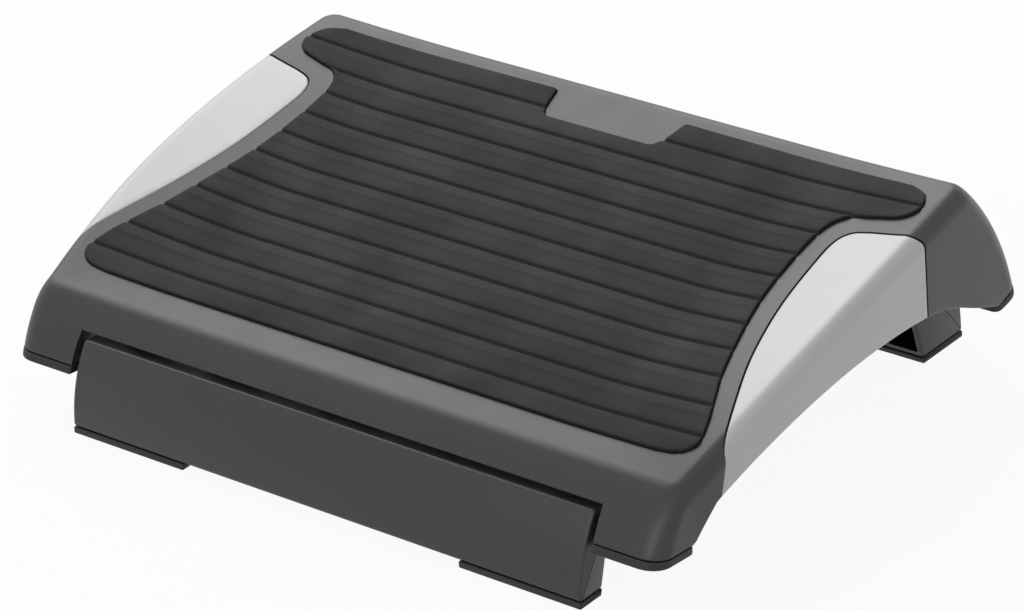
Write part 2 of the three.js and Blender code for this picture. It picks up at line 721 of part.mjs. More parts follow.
function piece(name, geometry, look) {
  const mesh = new THREE.Mesh(geometry, new THREE.MeshStandardMaterial(look));
  mesh.name = name;
  return mesh;
}

platform.add(piece('platform_shell', geometryOf(platformShell()), SHELL_PLASTIC));
platform.add(piece('rubber_mat', geometryOf(rubberMat()), MAT_RUBBER));
for (const { name, sign } of HANDS) {
  platform.add(piece(`side_insert_${name}`, geometryOf(sideInsert(sign)), INSERT_PLASTIC));
  for (const place of screwPlaces) {
    const screw = piece(`insert_screw_${name}_${place.name}`, insertScrew(sign, place.wall), PIN_STEEL);
    screw.position.set(0, place.along, -SCREW_DROP);
    platform.add(screw);
  }
  for (const { name: where, end } of ENDS) {
    platform.add(piece(`corner_pad_${where}_${name}`, geometryOf(cornerPad(end, sign)), PAD_RUBBER));
  }
}

const footrest = new THREE.Group();
footrest.add(platform);
for (const { name: where, end } of ENDS) {
  const hinge = new THREE.Group();
  hinge.position.set(0, ...end.hinge);
  hinge.add(piece(`${where}_leg`, leg(end), SHELL_PLASTIC));
  for (const { name, sign } of HANDS) {
    hinge.add(piece(`${where}_leg_pad_${name}`, legPad(end, sign), PAD_RUBBER));
    hinge.add(piece(`hinge_pin_${where}_${name}`, hingePin(sign), PIN_STEEL));
    hinge.add(piece(`friction_washer_${where}_${name}`, frictionWasher(sign), WASHER_NYLON));
    hinge.add(piece(`pin_clip_${where}_${name}`, pinClip(sign), PIN_STEEL));
  }
  footrest.add(hinge);
}

export default footrest;
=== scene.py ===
# %% [markdown]
# A tilting footrest, dressed for its picture
#
# The object is a footrest for under a desk: a wide sloping platform in dark moulded plastic, a
# grooved rubber mat let into its top, a silver panel over each side, and two legs that fold out
# underneath. The imported model already fixes where each part sits and how the legs turn. This
# script makes the surfaces that one sees: finer curves, soft edges, textures and light.
#
# The first cell loads the imported model and keeps its parts, so that later cells can read their
# places from them and hide them.

# %% Load the imported model
import math

import bmesh
import bpy
import numpy as np
from mathutils import Matrix, Vector
from mathutils.geometry import delaunay_2d_cdt


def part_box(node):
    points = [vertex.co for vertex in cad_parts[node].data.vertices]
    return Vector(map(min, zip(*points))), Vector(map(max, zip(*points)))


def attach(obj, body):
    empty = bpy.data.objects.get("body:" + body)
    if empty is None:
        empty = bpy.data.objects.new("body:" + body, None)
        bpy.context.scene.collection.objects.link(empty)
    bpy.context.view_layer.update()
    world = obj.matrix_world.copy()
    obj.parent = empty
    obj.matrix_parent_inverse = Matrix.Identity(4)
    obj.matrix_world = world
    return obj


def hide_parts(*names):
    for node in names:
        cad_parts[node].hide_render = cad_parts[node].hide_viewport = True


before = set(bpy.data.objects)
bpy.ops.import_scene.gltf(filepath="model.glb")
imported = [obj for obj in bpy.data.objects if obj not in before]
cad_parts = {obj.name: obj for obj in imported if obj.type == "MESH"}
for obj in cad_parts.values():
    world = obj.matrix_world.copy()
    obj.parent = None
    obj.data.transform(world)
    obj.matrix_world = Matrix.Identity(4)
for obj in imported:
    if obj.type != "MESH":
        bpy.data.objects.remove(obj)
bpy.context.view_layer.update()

# %% [markdown]
# Sizes first
#
# A maker's drawing gives the main sizes once, and every later shape refers to them. They could be
# typed again wherever a piece needs them, but then one change would have to be made in many
# places. All sizes here are in millimetres, and MM turns them into the metres that Blender uses.
# The platform is drawn flat, with its top plane at level 0, and is tilted when it is finished.

# %% Main sizes of the platform
MM = 0.001
HALF_WIDTH = 224
HALF_DEPTH = 175
TOP_HEIGHT = 103
TILT = math.radians(13.5)
WALL = 3.2
SIDE_DRAFT = 0.03
SIDE_ROUND = 10
CORNER_ROUND = 13
FOOT_INNER_X = 181
SIN, COS = math.sin(TILT), math.cos(TILT)


def to_floor(points):
    """Tilts points drawn on the flat platform and gives them in floor coordinates."""
    x, y, z = np.asarray(points, float).T
    return np.column_stack([x, y * COS - z * SIN, y * SIN + z * COS + TOP_HEIGHT])


def to_platform(y, z):
    """The platform's own coordinates of a place in the side view."""
    rise = z - TOP_HEIGHT
    return y * COS + rise * SIN, rise * COS - y * SIN


print("top plane at", TOP_HEIGHT, "mm, tilted", round(math.degrees(TILT), 1), "degrees")

# %% [markdown]
# The swelling sides
#
# Between the corners the two long edges bulge outwards and rise, like the arms of a chair. One
# could sculpt that by hand, but a formula keeps both sides alike, and the mat, the panels and the
# casing can all follow it. The formula is a parabola along the side, and a soft maximum keeps it
# from ending in a kink.

# %% How the sides swell
SWELL_OUT = 8
SWELL_UP = 12
SWELL_MIDDLE = -22
SWELL_FRONT_REACH = 122
SWELL_REAR_REACH = 160
SWELL_FLAT = 130
SWELL_POWER = 1.5
SWELL_FADE = 60
SWELL_SOFTNESS = 0.09


def swell(along):
    """How much of the full swell there is at a place along the side."""
    reach = np.where(along < SWELL_MIDDLE, SWELL_FRONT_REACH, SWELL_REAR_REACH)
    height = 1 - ((along - SWELL_MIDDLE) / reach) ** 2
    return (height + np.sqrt(height ** 2 + SWELL_SOFTNESS ** 2)) / 2


def lift(across, along, level):
    """How far a point rises with the swelling sides, less the lower it lies."""
    out = (np.abs(across) - SWELL_FLAT) / (HALF_WIDTH + SWELL_OUT - SWELL_FLAT)
    fade = np.clip(1 + level / SWELL_FADE, 0, 1)
    return SWELL_UP * np.maximum(out, 0) ** SWELL_POWER * swell(along) * fade


print("fullest swell", round(float(SWELL_OUT * swell(SWELL_MIDDLE)), 2), "mm out")

# %% [markdown]
# Small tools of the workshop
#
# Three jobs come back for every piece: making a mesh object from points and faces, turning its
# modifiers into plain geometry, and cutting one solid with another. A mesh object could be made
# with Blender's operators, but those depend on what is selected. Building it from data is plainer.
# Shading is smooth except over edges that are sharper than a set angle.

# %% Mesh objects, applied modifiers and cuts
SHARP_ANGLE = math.radians(32)


def shade(mesh, angle=SHARP_ANGLE):
    mesh.shade_smooth()
    mesh.set_sharp_from_angle(angle=angle)


def make_piece(name, points, faces, finish=None):
    """A mesh object from points in millimetres, with its faces turned outwards."""
    mesh = bpy.data.meshes.new(name)
    mesh.from_pydata((np.asarray(points, float) * MM).tolist(), [], faces)
    work = bmesh.new()
    work.from_mesh(mesh)
    bmesh.ops.recalc_face_normals(work, faces=work.faces)
    work.to_mesh(mesh)
    work.free()
    if finish:
        mesh.materials.append(finish)
    shade(mesh)
    piece = bpy.data.objects.new(name, mesh)
    bpy.context.scene.collection.objects.link(piece)
    return piece


def settle(piece):
    """Turns what the modifiers make into the piece's own mesh."""
    graph = bpy.context.evaluated_depsgraph_get()
    mesh = bpy.data.meshes.new_from_object(piece.evaluated_get(graph))
    piece.modifiers.clear()
    piece.data = mesh
    shade(mesh)
    return piece


def carve(piece, cutters, operation="DIFFERENCE"):
    """Cuts a closed piece with closed cutters, which are used up."""
    for cutter in cutters:
        step = piece.modifiers.new("cut", "BOOLEAN")
        step.operation = operation
        step.solver = "MANIFOLD"
        step.object = cutter
    settle(piece)
    for cutter in cutters:
        bpy.data.objects.remove(cutter)
    return piece


def report(piece):
    low = [min(v.co[axis] for v in piece.data.vertices) / MM for axis in range(3)]
    high = [max(v.co[axis] for v in piece.data.vertices) / MM for axis in range(3)]
    size = " x ".join(str(round(b - a, 1)) for a, b in zip(low, high))
    print(piece.name, size, "mm,", len(piece.data.polygons), "faces")
    return piece


# %% [markdown]
# Outlines
#
# Most parts of such a product are thin and follow an outline, as if they were cut from sheet. An
# outline is a list of points. A smooth one runs through a few chosen points as a spline, and
# moving every point along its two neighbours' mean direction makes the same outline larger or
# smaller. A library for offset curves could do that too, but these few lines are enough here.

# %% Splines, offsets and distances
STRAIGHT = math.radians(80)
MITRE_LEAST = 0.5
CORNER_ROOM = 0.48
CORNER_STEPS = 5


def spline(points, steps):
    """A Catmull-Rom curve through the points, with uniform steps in each span."""
    points = np.asarray(points, float)
    ends = np.vstack([2 * points[0] - points[1], points, 2 * points[-1] - points[-2]])
    made = []
    for a, b, c, d in zip(ends[:-3], ends[1:-2], ends[2:-1], ends[3:]):
        for t in np.arange(steps) / steps:
            bend = (2 * a - 5 * b + 4 * c - d) * t * t + (3 * b - a - 3 * c + d) * t ** 3
            made.append(b + ((c - a) * t + bend) / 2)
    return np.array(made + [points[-1]])


def grown(outline, distance):
    """The closed outline moved outwards, or inwards where the distance is below zero."""
    outline = np.asarray(outline, float)
    before = outline - np.roll(outline, 1, axis=0)
    after = np.roll(outline, -1, axis=0) - outline
    sides = []
    for run in (before, after):
        run = run / np.linalg.norm(run, axis=1)[:, None]
        sides.append(np.column_stack([run[:, 1], -run[:, 0]]))
    x, y = outline.T
    area = np.sum(x * np.roll(y, -1) - y * np.roll(x, -1))
    normal = sides[0] + sides[1]
    normal /= np.maximum(np.sum(normal * sides[0], axis=1), MITRE_LEAST)[:, None]
    return outline + normal * distance * np.sign(area)


def refined(outline, spacing):
    """The closed outline with its long spans divided."""
    made = []
    for a, b in zip(outline, np.roll(outline, -1, axis=0)):
        count = max(1, math.ceil(np.linalg.norm(b - a) / spacing))
        made += [a + (b - a) * step / count for step in range(count)]
    return np.array(made)


def corner_curve(a, here, c, steps=CORNER_STEPS):
    """A soft curve from a to c that bends at the corner between them."""
    return [a * (1 - t) ** 2 + here * 2 * t * (1 - t) + c * t * t for t in np.arange(steps + 1) / steps]


def rounded(outline, radius):
    """The closed outline with an arc at each corner, as far as its spans leave room."""
    made = []
    for at, here in enumerate(outline):
        here = np.asarray(here, float)
        to_last = np.asarray(outline[at - 1], float) - here
        to_next = np.asarray(outline[(at + 1) % len(outline)], float) - here
        reach_last, reach_next = np.linalg.norm(to_last), np.linalg.norm(to_next)
        to_last, to_next = to_last / reach_last, to_next / reach_next
        half = math.acos(max(-1, min(1, float(to_last @ to_next)))) / 2
        if half > STRAIGHT:
            made.append(here)
            continue
        room = min(radius / math.tan(half), reach_last * CORNER_ROOM, reach_next * CORNER_ROOM)
        made += corner_curve(here + to_last * room, here, here + to_next * room)
    return np.array(made)


def depth_inside(points, outline):
    """How far each point lies inside a closed outline, or below zero outside it."""
    x, y = np.asarray(points, float).T
    nearest = np.full(len(x), np.inf)
    inside = np.zeros(len(x), bool)
    for (x0, y0), (x1, y1) in zip(outline, np.roll(outline, -1, axis=0)):
        dx, dy = x1 - x0, y1 - y0
        t = np.clip(((x - x0) * dx + (y - y0) * dy) / (dx * dx + dy * dy), 0, 1)
        nearest = np.minimum(nearest, np.hypot(x - x0 - t * dx, y - y0 - t * dy))
        if y0 != y1:
            inside ^= ((y0 > y) != (y1 > y)) & (x < x0 + (y - y0) * dx / dy)
    return np.where(inside, nearest, -nearest)


# %% [markdown]
# Two ways to give an outline its thickness
#
# A slab is a straight block with rounded rims, such as a leg or a rubber pad: the outline is
# stacked in rings, which are drawn in a little near both ends. A panel is a sheet that may bend,
# such as the mat: its inside is filled with triangles on a grid, so that every point of it can be
# moved. Blender's own Bevel modifier could round such rims, but it gives up where many short edges
# meet. Here the roundness is part of the surface from the start.

# %% Slabs and panels
SAME_POINT = 1e-6


def arc_steps(radius, steps=4):
    """How far a rounded rim is drawn in, and how far it has risen, from the flat to the side."""
    turns = [math.pi / 2 * step / steps for step in range(steps + 1)]
    return [(radius * (1 - math.sin(turn)), radius * (1 - math.cos(turn))) for turn in turns]


def ring_faces(count, total):
    """The faces of a closed block through rings that each have the same count of points."""
    faces = [tuple(range(count)), tuple(reversed(range(total - count, total)))]
    for lower in range(0, total - count, count):
        for at in range(count):
            after = (at + 1) % count
            faces.append((lower + at, lower + after, lower + count + after, lower + count + at))
    return faces


def slab(name, outline, low, high, radius, place, finish=None, steps=4):
    """A closed block on an outline, from low to high, with rims of the given radius."""
    rim = arc_steps(radius, steps)
    rings = [(inset, low + rise) for inset, rise in rim]
    rings += [(inset, high - rise) for inset, rise in reversed(rim)]
    points = [(a, b, level) for inset, level in rings for a, b in grown(outline, -inset)]
    a, b, c = np.array(points).T
    return make_piece(name, np.column_stack(place(a, b, c)), ring_faces(len(outline), len(points)), finish)


def panel(name, outline, rim, spacing, grid, top, bottom, finish=None):
    """A closed sheet on an outline: top and bottom give the places of its two skins."""
    dense = refined(np.asarray(outline, float), spacing)
    points, edges = [], []
    for inset in rim:
        first = len(points)
        points += list(grown(dense, -inset))
        count = len(dense)
        edges += [(first + at, first + (at + 1) % count) for at in range(count)]
    xs, ys = grid
    mesh_x, mesh_y = np.meshgrid(xs, ys)
    lattice = np.column_stack([mesh_x.ravel(), mesh_y.ravel()])
    deep = depth_inside(lattice, dense) > rim[-1] + spacing / 2
    points += list(lattice[deep])
    made = delaunay_2d_cdt([Vector(point) for point in points], edges, [], 0, SAME_POINT)
    flat = np.array([tuple(point) for point in made[0]])
    triangles = np.array(made[2])
    depth = depth_inside(flat, dense)
    triangles = triangles[depth_inside(flat[triangles].mean(axis=1), dense) > 0]
    used, triangles = np.unique(triangles, return_inverse=True)
    triangles = triangles.reshape(-1, 3)
    flat, depth = flat[used], np.maximum(depth[used], 0)
    skins = np.vstack([top(flat, depth), bottom(flat, depth)])
    count = len(flat)
    faces = [tuple(face) for face in triangles.tolist()]
    faces += [(c + count, b + count, a + count) for a, b, c in triangles.tolist()]
    sides = {(a, b) for face in triangles.tolist() for a, b in zip(face, face[1:] + face[:1])}
    faces += [(b, a, a + count, b + count) for a, b in sides if (b, a) not in sides]
    return make_piece(name, skins, faces, finish)


# %% [markdown]
# Finishes
#
# The object has five finishes: satin black plastic, silver paint, dark rubber, black rubber and
# plated steel, with a nylon washer inside each hinge. A picture of a real surface could be laid
# over each, but noise that is worked out from the piece's own coordinates has no seams and needs
# no file. Each finish gets a fine grain in its bump and colour that isn't quite even, and the
# plastics and the mat also get patches that shine a little more or less.

# %% The shared recipe for a finish
NOISE_LOW, NOISE_HIGH = 0.3, 0.7


def new_finish(name, colour, roughness):
    """A material with its Principled shader, its piece's coordinates, and its node helpers."""
    material = bpy.data.materials.new(name)
    material.use_nodes = True
    tree = material.node_tree
    shader = tree.nodes["Principled BSDF"]
    shader.inputs["Base Color"].default_value = (*colour, 1)
    shader.inputs["Roughness"].default_value = roughness
    place = tree.nodes.new("ShaderNodeTexCoord").outputs["Object"]
    return material, tree, shader, place


def noise(tree, place, size, detail=2, stretch=(1, 1, 1)):
    """Noise whose blotches are about as large as the size in millimetres."""
    scaled = tree.nodes.new("ShaderNodeMapping")
    scaled.inputs["Scale"].default_value = stretch
    tree.links.new(place, scaled.inputs["Vector"])
    made = tree.nodes.new("ShaderNodeTexNoise")
    made.inputs["Scale"].default_value = 1 / (size * MM)
    made.inputs["Detail"].default_value = detail
    tree.links.new(scaled.outputs["Vector"], made.inputs["Vector"])
    return made.outputs["Fac"]


def spread(tree, source, low, high):
    """Maps the middle of a noise's range to low and high."""
    made = tree.nodes.new("ShaderNodeMapRange")
    made.inputs["From Min"].default_value = NOISE_LOW
    made.inputs["From Max"].default_value = NOISE_HIGH
    made.inputs["To Min"].default_value = low
    made.inputs["To Max"].default_value = high
    tree.links.new(source, made.inputs["Value"])
    return made.outputs["Result"]


def tint(tree, shader, source, dark, light):
    """Lets a noise move the colour between two near shades."""
    ramp = tree.nodes.new("ShaderNodeValToRGB")
    ramp.color_ramp.elements[0].position = NOISE_LOW
    ramp.color_ramp.elements[1].position = NOISE_HIGH
    ramp.color_ramp.elements[0].color = (*dark, 1)
    ramp.color_ramp.elements[1].color = (*light, 1)
    tree.links.new(source, ramp.inputs["Fac"])
    tree.links.new(ramp.outputs["Color"], shader.inputs["Base Color"])


def grain(tree, shader, source, height):
    """Fine relief of the given height in millimetres, on top of any relief before it."""
    bump = tree.nodes.new("ShaderNodeBump")
    bump.inputs["Strength"].default_value = 1
    bump.inputs["Distance"].default_value = height * MM
    tree.links.new(source, bump.inputs["Height"])
    normal = shader.inputs["Normal"]
    if normal.is_linked:
        tree.links.new(normal.links[0].from_socket, bump.inputs["Normal"])
    tree.links.new(bump.outputs["Normal"], normal)


def shades(colour, change):
    """The colour a little darker and a little lighter."""
    return tuple(v * (1 - change) for v in colour), tuple(v * (1 + change) for v in colour)


# %% [markdown]
# The two plastics
#
# The casing and the legs are satin black plastic from a mould with a very fine spark-eroded
# texture, which spreads each reflection into a soft band. The side panels are painted silver: the
# paint holds metal flakes that are too small to see one by one, under a thin clear layer. A metal
# shader would mirror the white studio too strongly, so the paint is mostly plain, and only a
# little of it is metallic.

# %% Satin black plastic and silver paint
SHELL_COLOUR = (0.03, 0.03, 0.03)
SHELL_ROUGHNESS = 0.38
PAINT_COLOUR = (0.59, 0.595, 0.59)
PAINT_ROUGHNESS = 0.36


def moulded_plastic():
    material, tree, shader, place = new_finish("satin_black_plastic", SHELL_COLOUR, SHELL_ROUGHNESS)
    tint(tree, shader, noise(tree, place, 60, 3), *shades(SHELL_COLOUR, 0.05))
    rough = spread(tree, noise(tree, place, 25, 4), SHELL_ROUGHNESS - 0.02, SHELL_ROUGHNESS + 0.03)
    tree.links.new(rough, shader.inputs["Roughness"])
    grain(tree, shader, noise(tree, place, 0.9, 3), 0.012)
    return material


def silver_paint():
    material, tree, shader, place = new_finish("silver_paint", PAINT_COLOUR, PAINT_ROUGHNESS)
    tint(tree, shader, noise(tree, place, 0.6, 1), *shades(PAINT_COLOUR, 0.02))
    rough = spread(tree, noise(tree, place, 30, 3), PAINT_ROUGHNESS - 0.02, PAINT_ROUGHNESS + 0.02)
    tree.links.new(rough, shader.inputs["Roughness"])
    grain(tree, shader, noise(tree, place, 1.4, 2), 0.003)
    shader.inputs["Metallic"].default_value = 0.05
    shader.inputs["Coat Weight"].default_value = 0.08
    shader.inputs["Coat Roughness"].default_value = 0.2
    return material


shell_finish = moulded_plastic()
paint_finish = silver_paint()
print("plastics:", shell_finish.name, "and", paint_finish.name)

# %% [markdown]
# The two rubbers, the steel and the nylon
#
# The mat is dull rubber that a shoe may scuff, so its grain is coarser and its patches are larger
# than the casing's. The pads under the feet and legs are a blacker rubber. The pins and screws are
# zinc-plated steel with fine turning marks round them, and the washers are milky nylon.

# %% Rubber, steel and nylon
MAT_COLOUR = (0.019, 0.019, 0.0186)
MAT_ROUGHNESS = 0.66
MAT_SHINE = 0.18
PAD_COLOUR = (0.008, 0.008, 0.008)
PAD_ROUGHNESS = 0.6
STEEL_COLOUR = (0.56, 0.57, 0.58)
STEEL_ROUGHNESS = 0.32
NYLON_COLOUR = (0.78, 0.76, 0.68)
NYLON_ROUGHNESS = 0.5


def mat_rubber():
    material, tree, shader, place = new_finish("mat_rubber", MAT_COLOUR, MAT_ROUGHNESS)
    tint(tree, shader, noise(tree, place, 45, 4), *shades(MAT_COLOUR, 0.08))
    rough = spread(tree, noise(tree, place, 35, 4), MAT_ROUGHNESS - 0.05, MAT_ROUGHNESS + 0.06)
    tree.links.new(rough, shader.inputs["Roughness"])
    grain(tree, shader, noise(tree, place, 1.1, 3), 0.03)
    grain(tree, shader, noise(tree, place, 7, 2), 0.02)
    shader.inputs["Specular IOR Level"].default_value = MAT_SHINE
    return material


def pad_rubber():
    material, tree, shader, place = new_finish("pad_rubber", PAD_COLOUR, PAD_ROUGHNESS)
    tint(tree, shader, noise(tree, place, 12, 3), *shades(PAD_COLOUR, 0.2))
    grain(tree, shader, noise(tree, place, 0.8, 2), 0.03)
    return material


def plated_steel():
    material, tree, shader, place = new_finish("plated_steel", STEEL_COLOUR, STEEL_ROUGHNESS)
    shader.inputs["Metallic"].default_value = 1
    tint(tree, shader, noise(tree, place, 4, 3), *shades(STEEL_COLOUR, 0.06))
    grain(tree, shader, noise(tree, place, 0.5, 1, stretch=(1, 0.05, 0.05)), 0.006)
    return material


def milky_nylon():
    material, tree, shader, place = new_finish("milky_nylon", NYLON_COLOUR, NYLON_ROUGHNESS)
    tint(tree, shader, noise(tree, place, 3, 2), *shades(NYLON_COLOUR, 0.04))
    grain(tree, shader, noise(tree, place, 0.6, 2), 0.01)
    return material


mat_finish = mat_rubber()
pad_finish = pad_rubber()
steel_finish = plated_steel()
nylon_finish = milky_nylon()
print("rubbers, steel and nylon are ready")

# %% [markdown]
# Front and rear walls
#
# Seen from the side, the front and the rear wall are arcs that run down to the floor, and the
# legs continue them. Each arc meets the flat top in a soft round. Where the wall is, at a level
# below the top, follows from the arc's radius. Drawing the side view by hand would be quicker
# once, but the legs have to lie exactly on the same arcs, so both use these values.

# %% The two ends of the platform
ARC_CENTRE_HEIGHT = 2


def platform_end(side, radius, edge_round, heel, heel_height, foot_slope, notch_height):
    centre = side * (HALF_DEPTH - radius)
    along, level = to_platform(centre, ARC_CENTRE_HEIGHT)
    return {"side": side, "radius": radius, "round": edge_round, "centre": centre,
            "along": along, "level": level, "heel": heel, "heel_height": heel_height,
            "foot_slope": foot_slope, "notch_height": notch_height}


FRONT = platform_end(side=-1, radius=85, edge_round=14, heel=-136.5, heel_height=34.2,
                     foot_slope=-0.09, notch_height=54)
REAR = platform_end(side=1, radius=165, edge_round=9, heel=144, heel_height=45.2,
                    foot_slope=0.184, notch_height=80)


def wall_edge(end, level, inset):
    """Where the end wall is at a level below the top, along the platform."""
    edge_round = end["round"] - inset
    reach = end["radius"] - end["round"]
    rise = -end["round"] - end["level"]
    above = level + end["round"]
    if above > edge_round * rise / reach:
        start = math.sqrt(reach ** 2 - rise ** 2)
        bow = math.sqrt(max(edge_round ** 2 - above ** 2, 0))
        return end["along"] + end["side"] * (start + bow)
    height = max(level - end["level"], 0)
    return end["along"] + end["side"] * math.sqrt((end["radius"] - inset) ** 2 - height ** 2)


def foot_height(end, y):
    return end["heel_height"] + end["foot_slope"] * (y - end["heel"])


def arc_y(end, z, inset=0):
    reach = math.sqrt((end["radius"] - inset) ** 2 - (z - ARC_CENTRE_HEIGHT) ** 2)
    return end["centre"] + end["side"] * reach


wall_ends = [round(wall_edge(end, 0, 0), 1) for end in (FRONT, REAR)]
print("front wall from y", wall_ends[0], "rear wall to", wall_ends[1])

# %% [markdown]
# The skirt's lower edge
#
# Between the corner feet each side wall ends in a long arch, so that the footrest stands on its
# corners only. The arch is a spline through a few points, given as shares of the half depth and
# of the top's height. A straight slope leads from each end of it down to the heel of a foot.

# %% The arch between the feet
ARCH_SHARES = [
    (-0.68, 0.5), (-0.5, 0.61), (-0.3, 0.695), (-0.1, 0.743), (0.1, 0.756), (0.3, 0.738),
    (0.5, 0.68), (0.69, 0.535),
]
ARCH_SPAN_STEPS = 8
ARCH = spline([(a * HALF_DEPTH, b * TOP_HEIGHT) for a, b in ARCH_SHARES], ARCH_SPAN_STEPS)
SKIRT_Y = np.array([FRONT["heel"], *ARCH[:, 0], REAR["heel"]])
SKIRT_Z = np.array([FRONT["heel_height"], *ARCH[:, 1], REAR["heel_height"]])


def skirt_height(y):
    if y < FRONT["heel"]:
        return foot_height(FRONT, y)
    if y > REAR["heel"]:
        return foot_height(REAR, y)
    return float(np.interp(y, SKIRT_Y, SKIRT_Z))


print("arch rises to", round(float(ARCH[:, 1].max()), 1), "mm")

# %% [markdown]
# Stations round the platform
#
# The casing is laid out like the hull of a boat. Stations are set round its outline, and at each
# station one line runs from the middle of the top over the edge, down the wall, round the lower
# rim and back up inside. Joined sideways, these lines make one closed skin of clean squares. The
# same shape could be cut from blocks, but its curved walls would then be full of splinters. At
# the openings for the legs several stations end on the same upright line, which makes the step.

# %% Where a station's line runs
CORNER_STATIONS = 10
SIDE_STATIONS = 110
NOTCH_EDGE_STATIONS = 9
NOTCH_SPREAD = 7
END_REACH = 213
INNER_STATIONS = 11
OUTER_STATIONS = 7
OUTER_START = 4
OUTER_SPACING = 3


def round_draw(level, inset):
    """How far the rounded upper edge is drawn in at a level."""
    radius = SIDE_ROUND - inset
    above = max(level + SIDE_ROUND, 0)
    return radius - math.sqrt(max(radius ** 2 - above ** 2, 0))


def side_edge(along, level, inset):
    wall = HALF_WIDTH + SWELL_OUT * float(swell(along)) + SIDE_DRAFT * level
    return wall - inset - round_draw(level, inset)


def outline_point(kind, share, level, inset):
    """The place of a station's line at a level: across and along, on the right half."""
    corner = CORNER_ROUND - inset - round_draw(level, inset)
    front = wall_edge(FRONT, level, inset) + corner
    rear = wall_edge(REAR, level, inset) - corner
    if kind == "side":
        along = front + (rear - front) * share
        return side_edge(along, level, inset), along
    at_front = kind.startswith("front")
    along = front if at_front else rear
    middle = side_edge(along, level, inset) - corner
    if kind.endswith("corner"):
        turn = math.pi / 2 * share
        outwards = -math.cos(turn) if at_front else math.sin(turn)
        sideways = math.sin(turn) if at_front else math.cos(turn)
        return middle + corner * sideways, along + corner * outwards
    return middle * share, along + (-corner if at_front else corner)


def half_stations():
    """Stations from the front middle to the rear middle: kind, share, foot, and step in the notch."""
    spaced = [step / INNER_STATIONS for step in range(INNER_STATIONS)]
    inner = [share * (FOOT_INNER_X - NOTCH_SPREAD) / END_REACH for share in spaced]
    edge = [step / (NOTCH_EDGE_STATIONS - 1) for step in range(NOTCH_EDGE_STATIONS)]
    outer_x = FOOT_INNER_X + NOTCH_SPREAD + OUTER_START
    outer = [(outer_x + OUTER_SPACING * step) / END_REACH for step in range(OUTER_STATIONS)]
    front = [("front", share, 0.0, False) for share in inner]
    for share in edge:
        x = FOOT_INNER_X + NOTCH_SPREAD * (2 * share - 1)
        front.append(("front", x / END_REACH, share, True))
    front += [("front", share, 1.0, False) for share in outer]
    rear = [("rear", share, foot, step) for _, share, foot, step in reversed(front)]
    corners = [step / CORNER_STATIONS for step in range(CORNER_STATIONS + 1)]
    stations = front + [("front_corner", share, 1.0, False) for share in corners]
    stations += [("side", step / SIDE_STATIONS, 1.0, False) for step in range(1, SIDE_STATIONS)]
    return stations + [("rear_corner", share, 1.0, False) for share in corners] + rear


STATIONS = half_stations()
print(len(STATIONS), "stations on each half")

# %% [markdown]
# The casing's skin
#
# Each line now gets its rows: from the pole in the middle of the top outwards, over the round,
# down to the lower edge, round the rim, and up again inside. The lower edge is given in floor
# coordinates, so the level where a line ends is found by halving an interval. Over each leg the
# rim is rolled in with a larger radius, as on the real casing, and elsewhere it is only softened.

# %% Rows of the casing
CAP_SHARES = [0.0, 0.12, 0.25, 0.38, 0.48, 0.54, 0.6, 0.65, 0.7, 0.74, 0.78, 0.815, 0.85, 0.88,
              0.91, 0.935, 0.96, 0.98, 0.992]
WALL_ROWS = 38
RIM_ROUND = 1.1
NOTCH_ROUND = 1.8
RIM_ROWS = 5
BACKED_WALL = 5.2
BACKING_FROM, BACKING_TO, BACKING_BLEND = -124, 72, 6
BACKING_FADE = 8
DEEPEST = -112.0
LEAST_WALL = 0.5
HALVINGS = 30
WALL_PROBE = -20
SAME_PLACE = 0.004
NO_LENGTH = 0.001


def wall_thickness(kind, along):
    if kind != "side":
        return WALL
    blend = min((along - BACKING_FROM) / BACKING_BLEND, (BACKING_TO - along) / BACKING_BLEND)
    return WALL + (BACKED_WALL - WALL) * min(max(blend, 0), 1)


def lower_height(kind, foot, y):
    """Height of the lower edge at a station, in floor coordinates."""
    if kind == "side" or kind.endswith("corner"):
        return skirt_height(y)
    end = FRONT if kind == "front" else REAR
    step = foot * foot * (3 - 2 * foot)
    return end["notch_height"] + (foot_height(end, y) - end["notch_height"]) * step


def station_point(station, level, inset, sink=0.0):
    kind, share, _, stepped = station
    across, along = outline_point(kind, share, level, inset)
    if stepped:
        across += (FOOT_INNER_X - across) * min(max(sink, 0), 1)
    return across, along, level + float(lift(across, along, level))


def floor_height(point):
    return point[1] * SIN + point[2] * COS + TOP_HEIGHT


def rim_level(station, inset, above):
    """The level at which a station's line is the given height above the lower edge."""
    low, high = DEEPEST, -inset - LEAST_WALL
    for _ in range(HALVINGS):
        middle = (low + high) / 2
        point = station_point(station, middle, inset)
        y = point[1] * COS - point[2] * SIN
        if floor_height(point) > lower_height(station[0], station[2], y) + above:
            high = middle
        else:
            low = middle
    return (low + high) / 2


def cap_rows(station, inset, shares):
    """Rows of the top, or of the roof inside, from the pole to the edge."""
    edge_x, edge_y = outline_point(station[0], station[1], -inset, inset)
    rows = []
    for share in shares:
        depth = min(inset, WALL) + max(inset - WALL, 0) * share ** BACKING_FADE
        across, along = edge_x * share, edge_y * share
        rows.append((across, along, float(lift(across, along, 0)) - depth))
    return rows


def wall_rows(station, inset, above):
    """Rows from the top's edge down to the rim, closest together in the round at the top."""
    bottom = rim_level(station, inset, above)
    rows = []
    for step in range(WALL_ROWS + 1):
        share = step / WALL_ROWS
        level = -inset + (bottom + inset) * share ** 2
        rows.append(station_point(station, level, inset, share))
    return rows


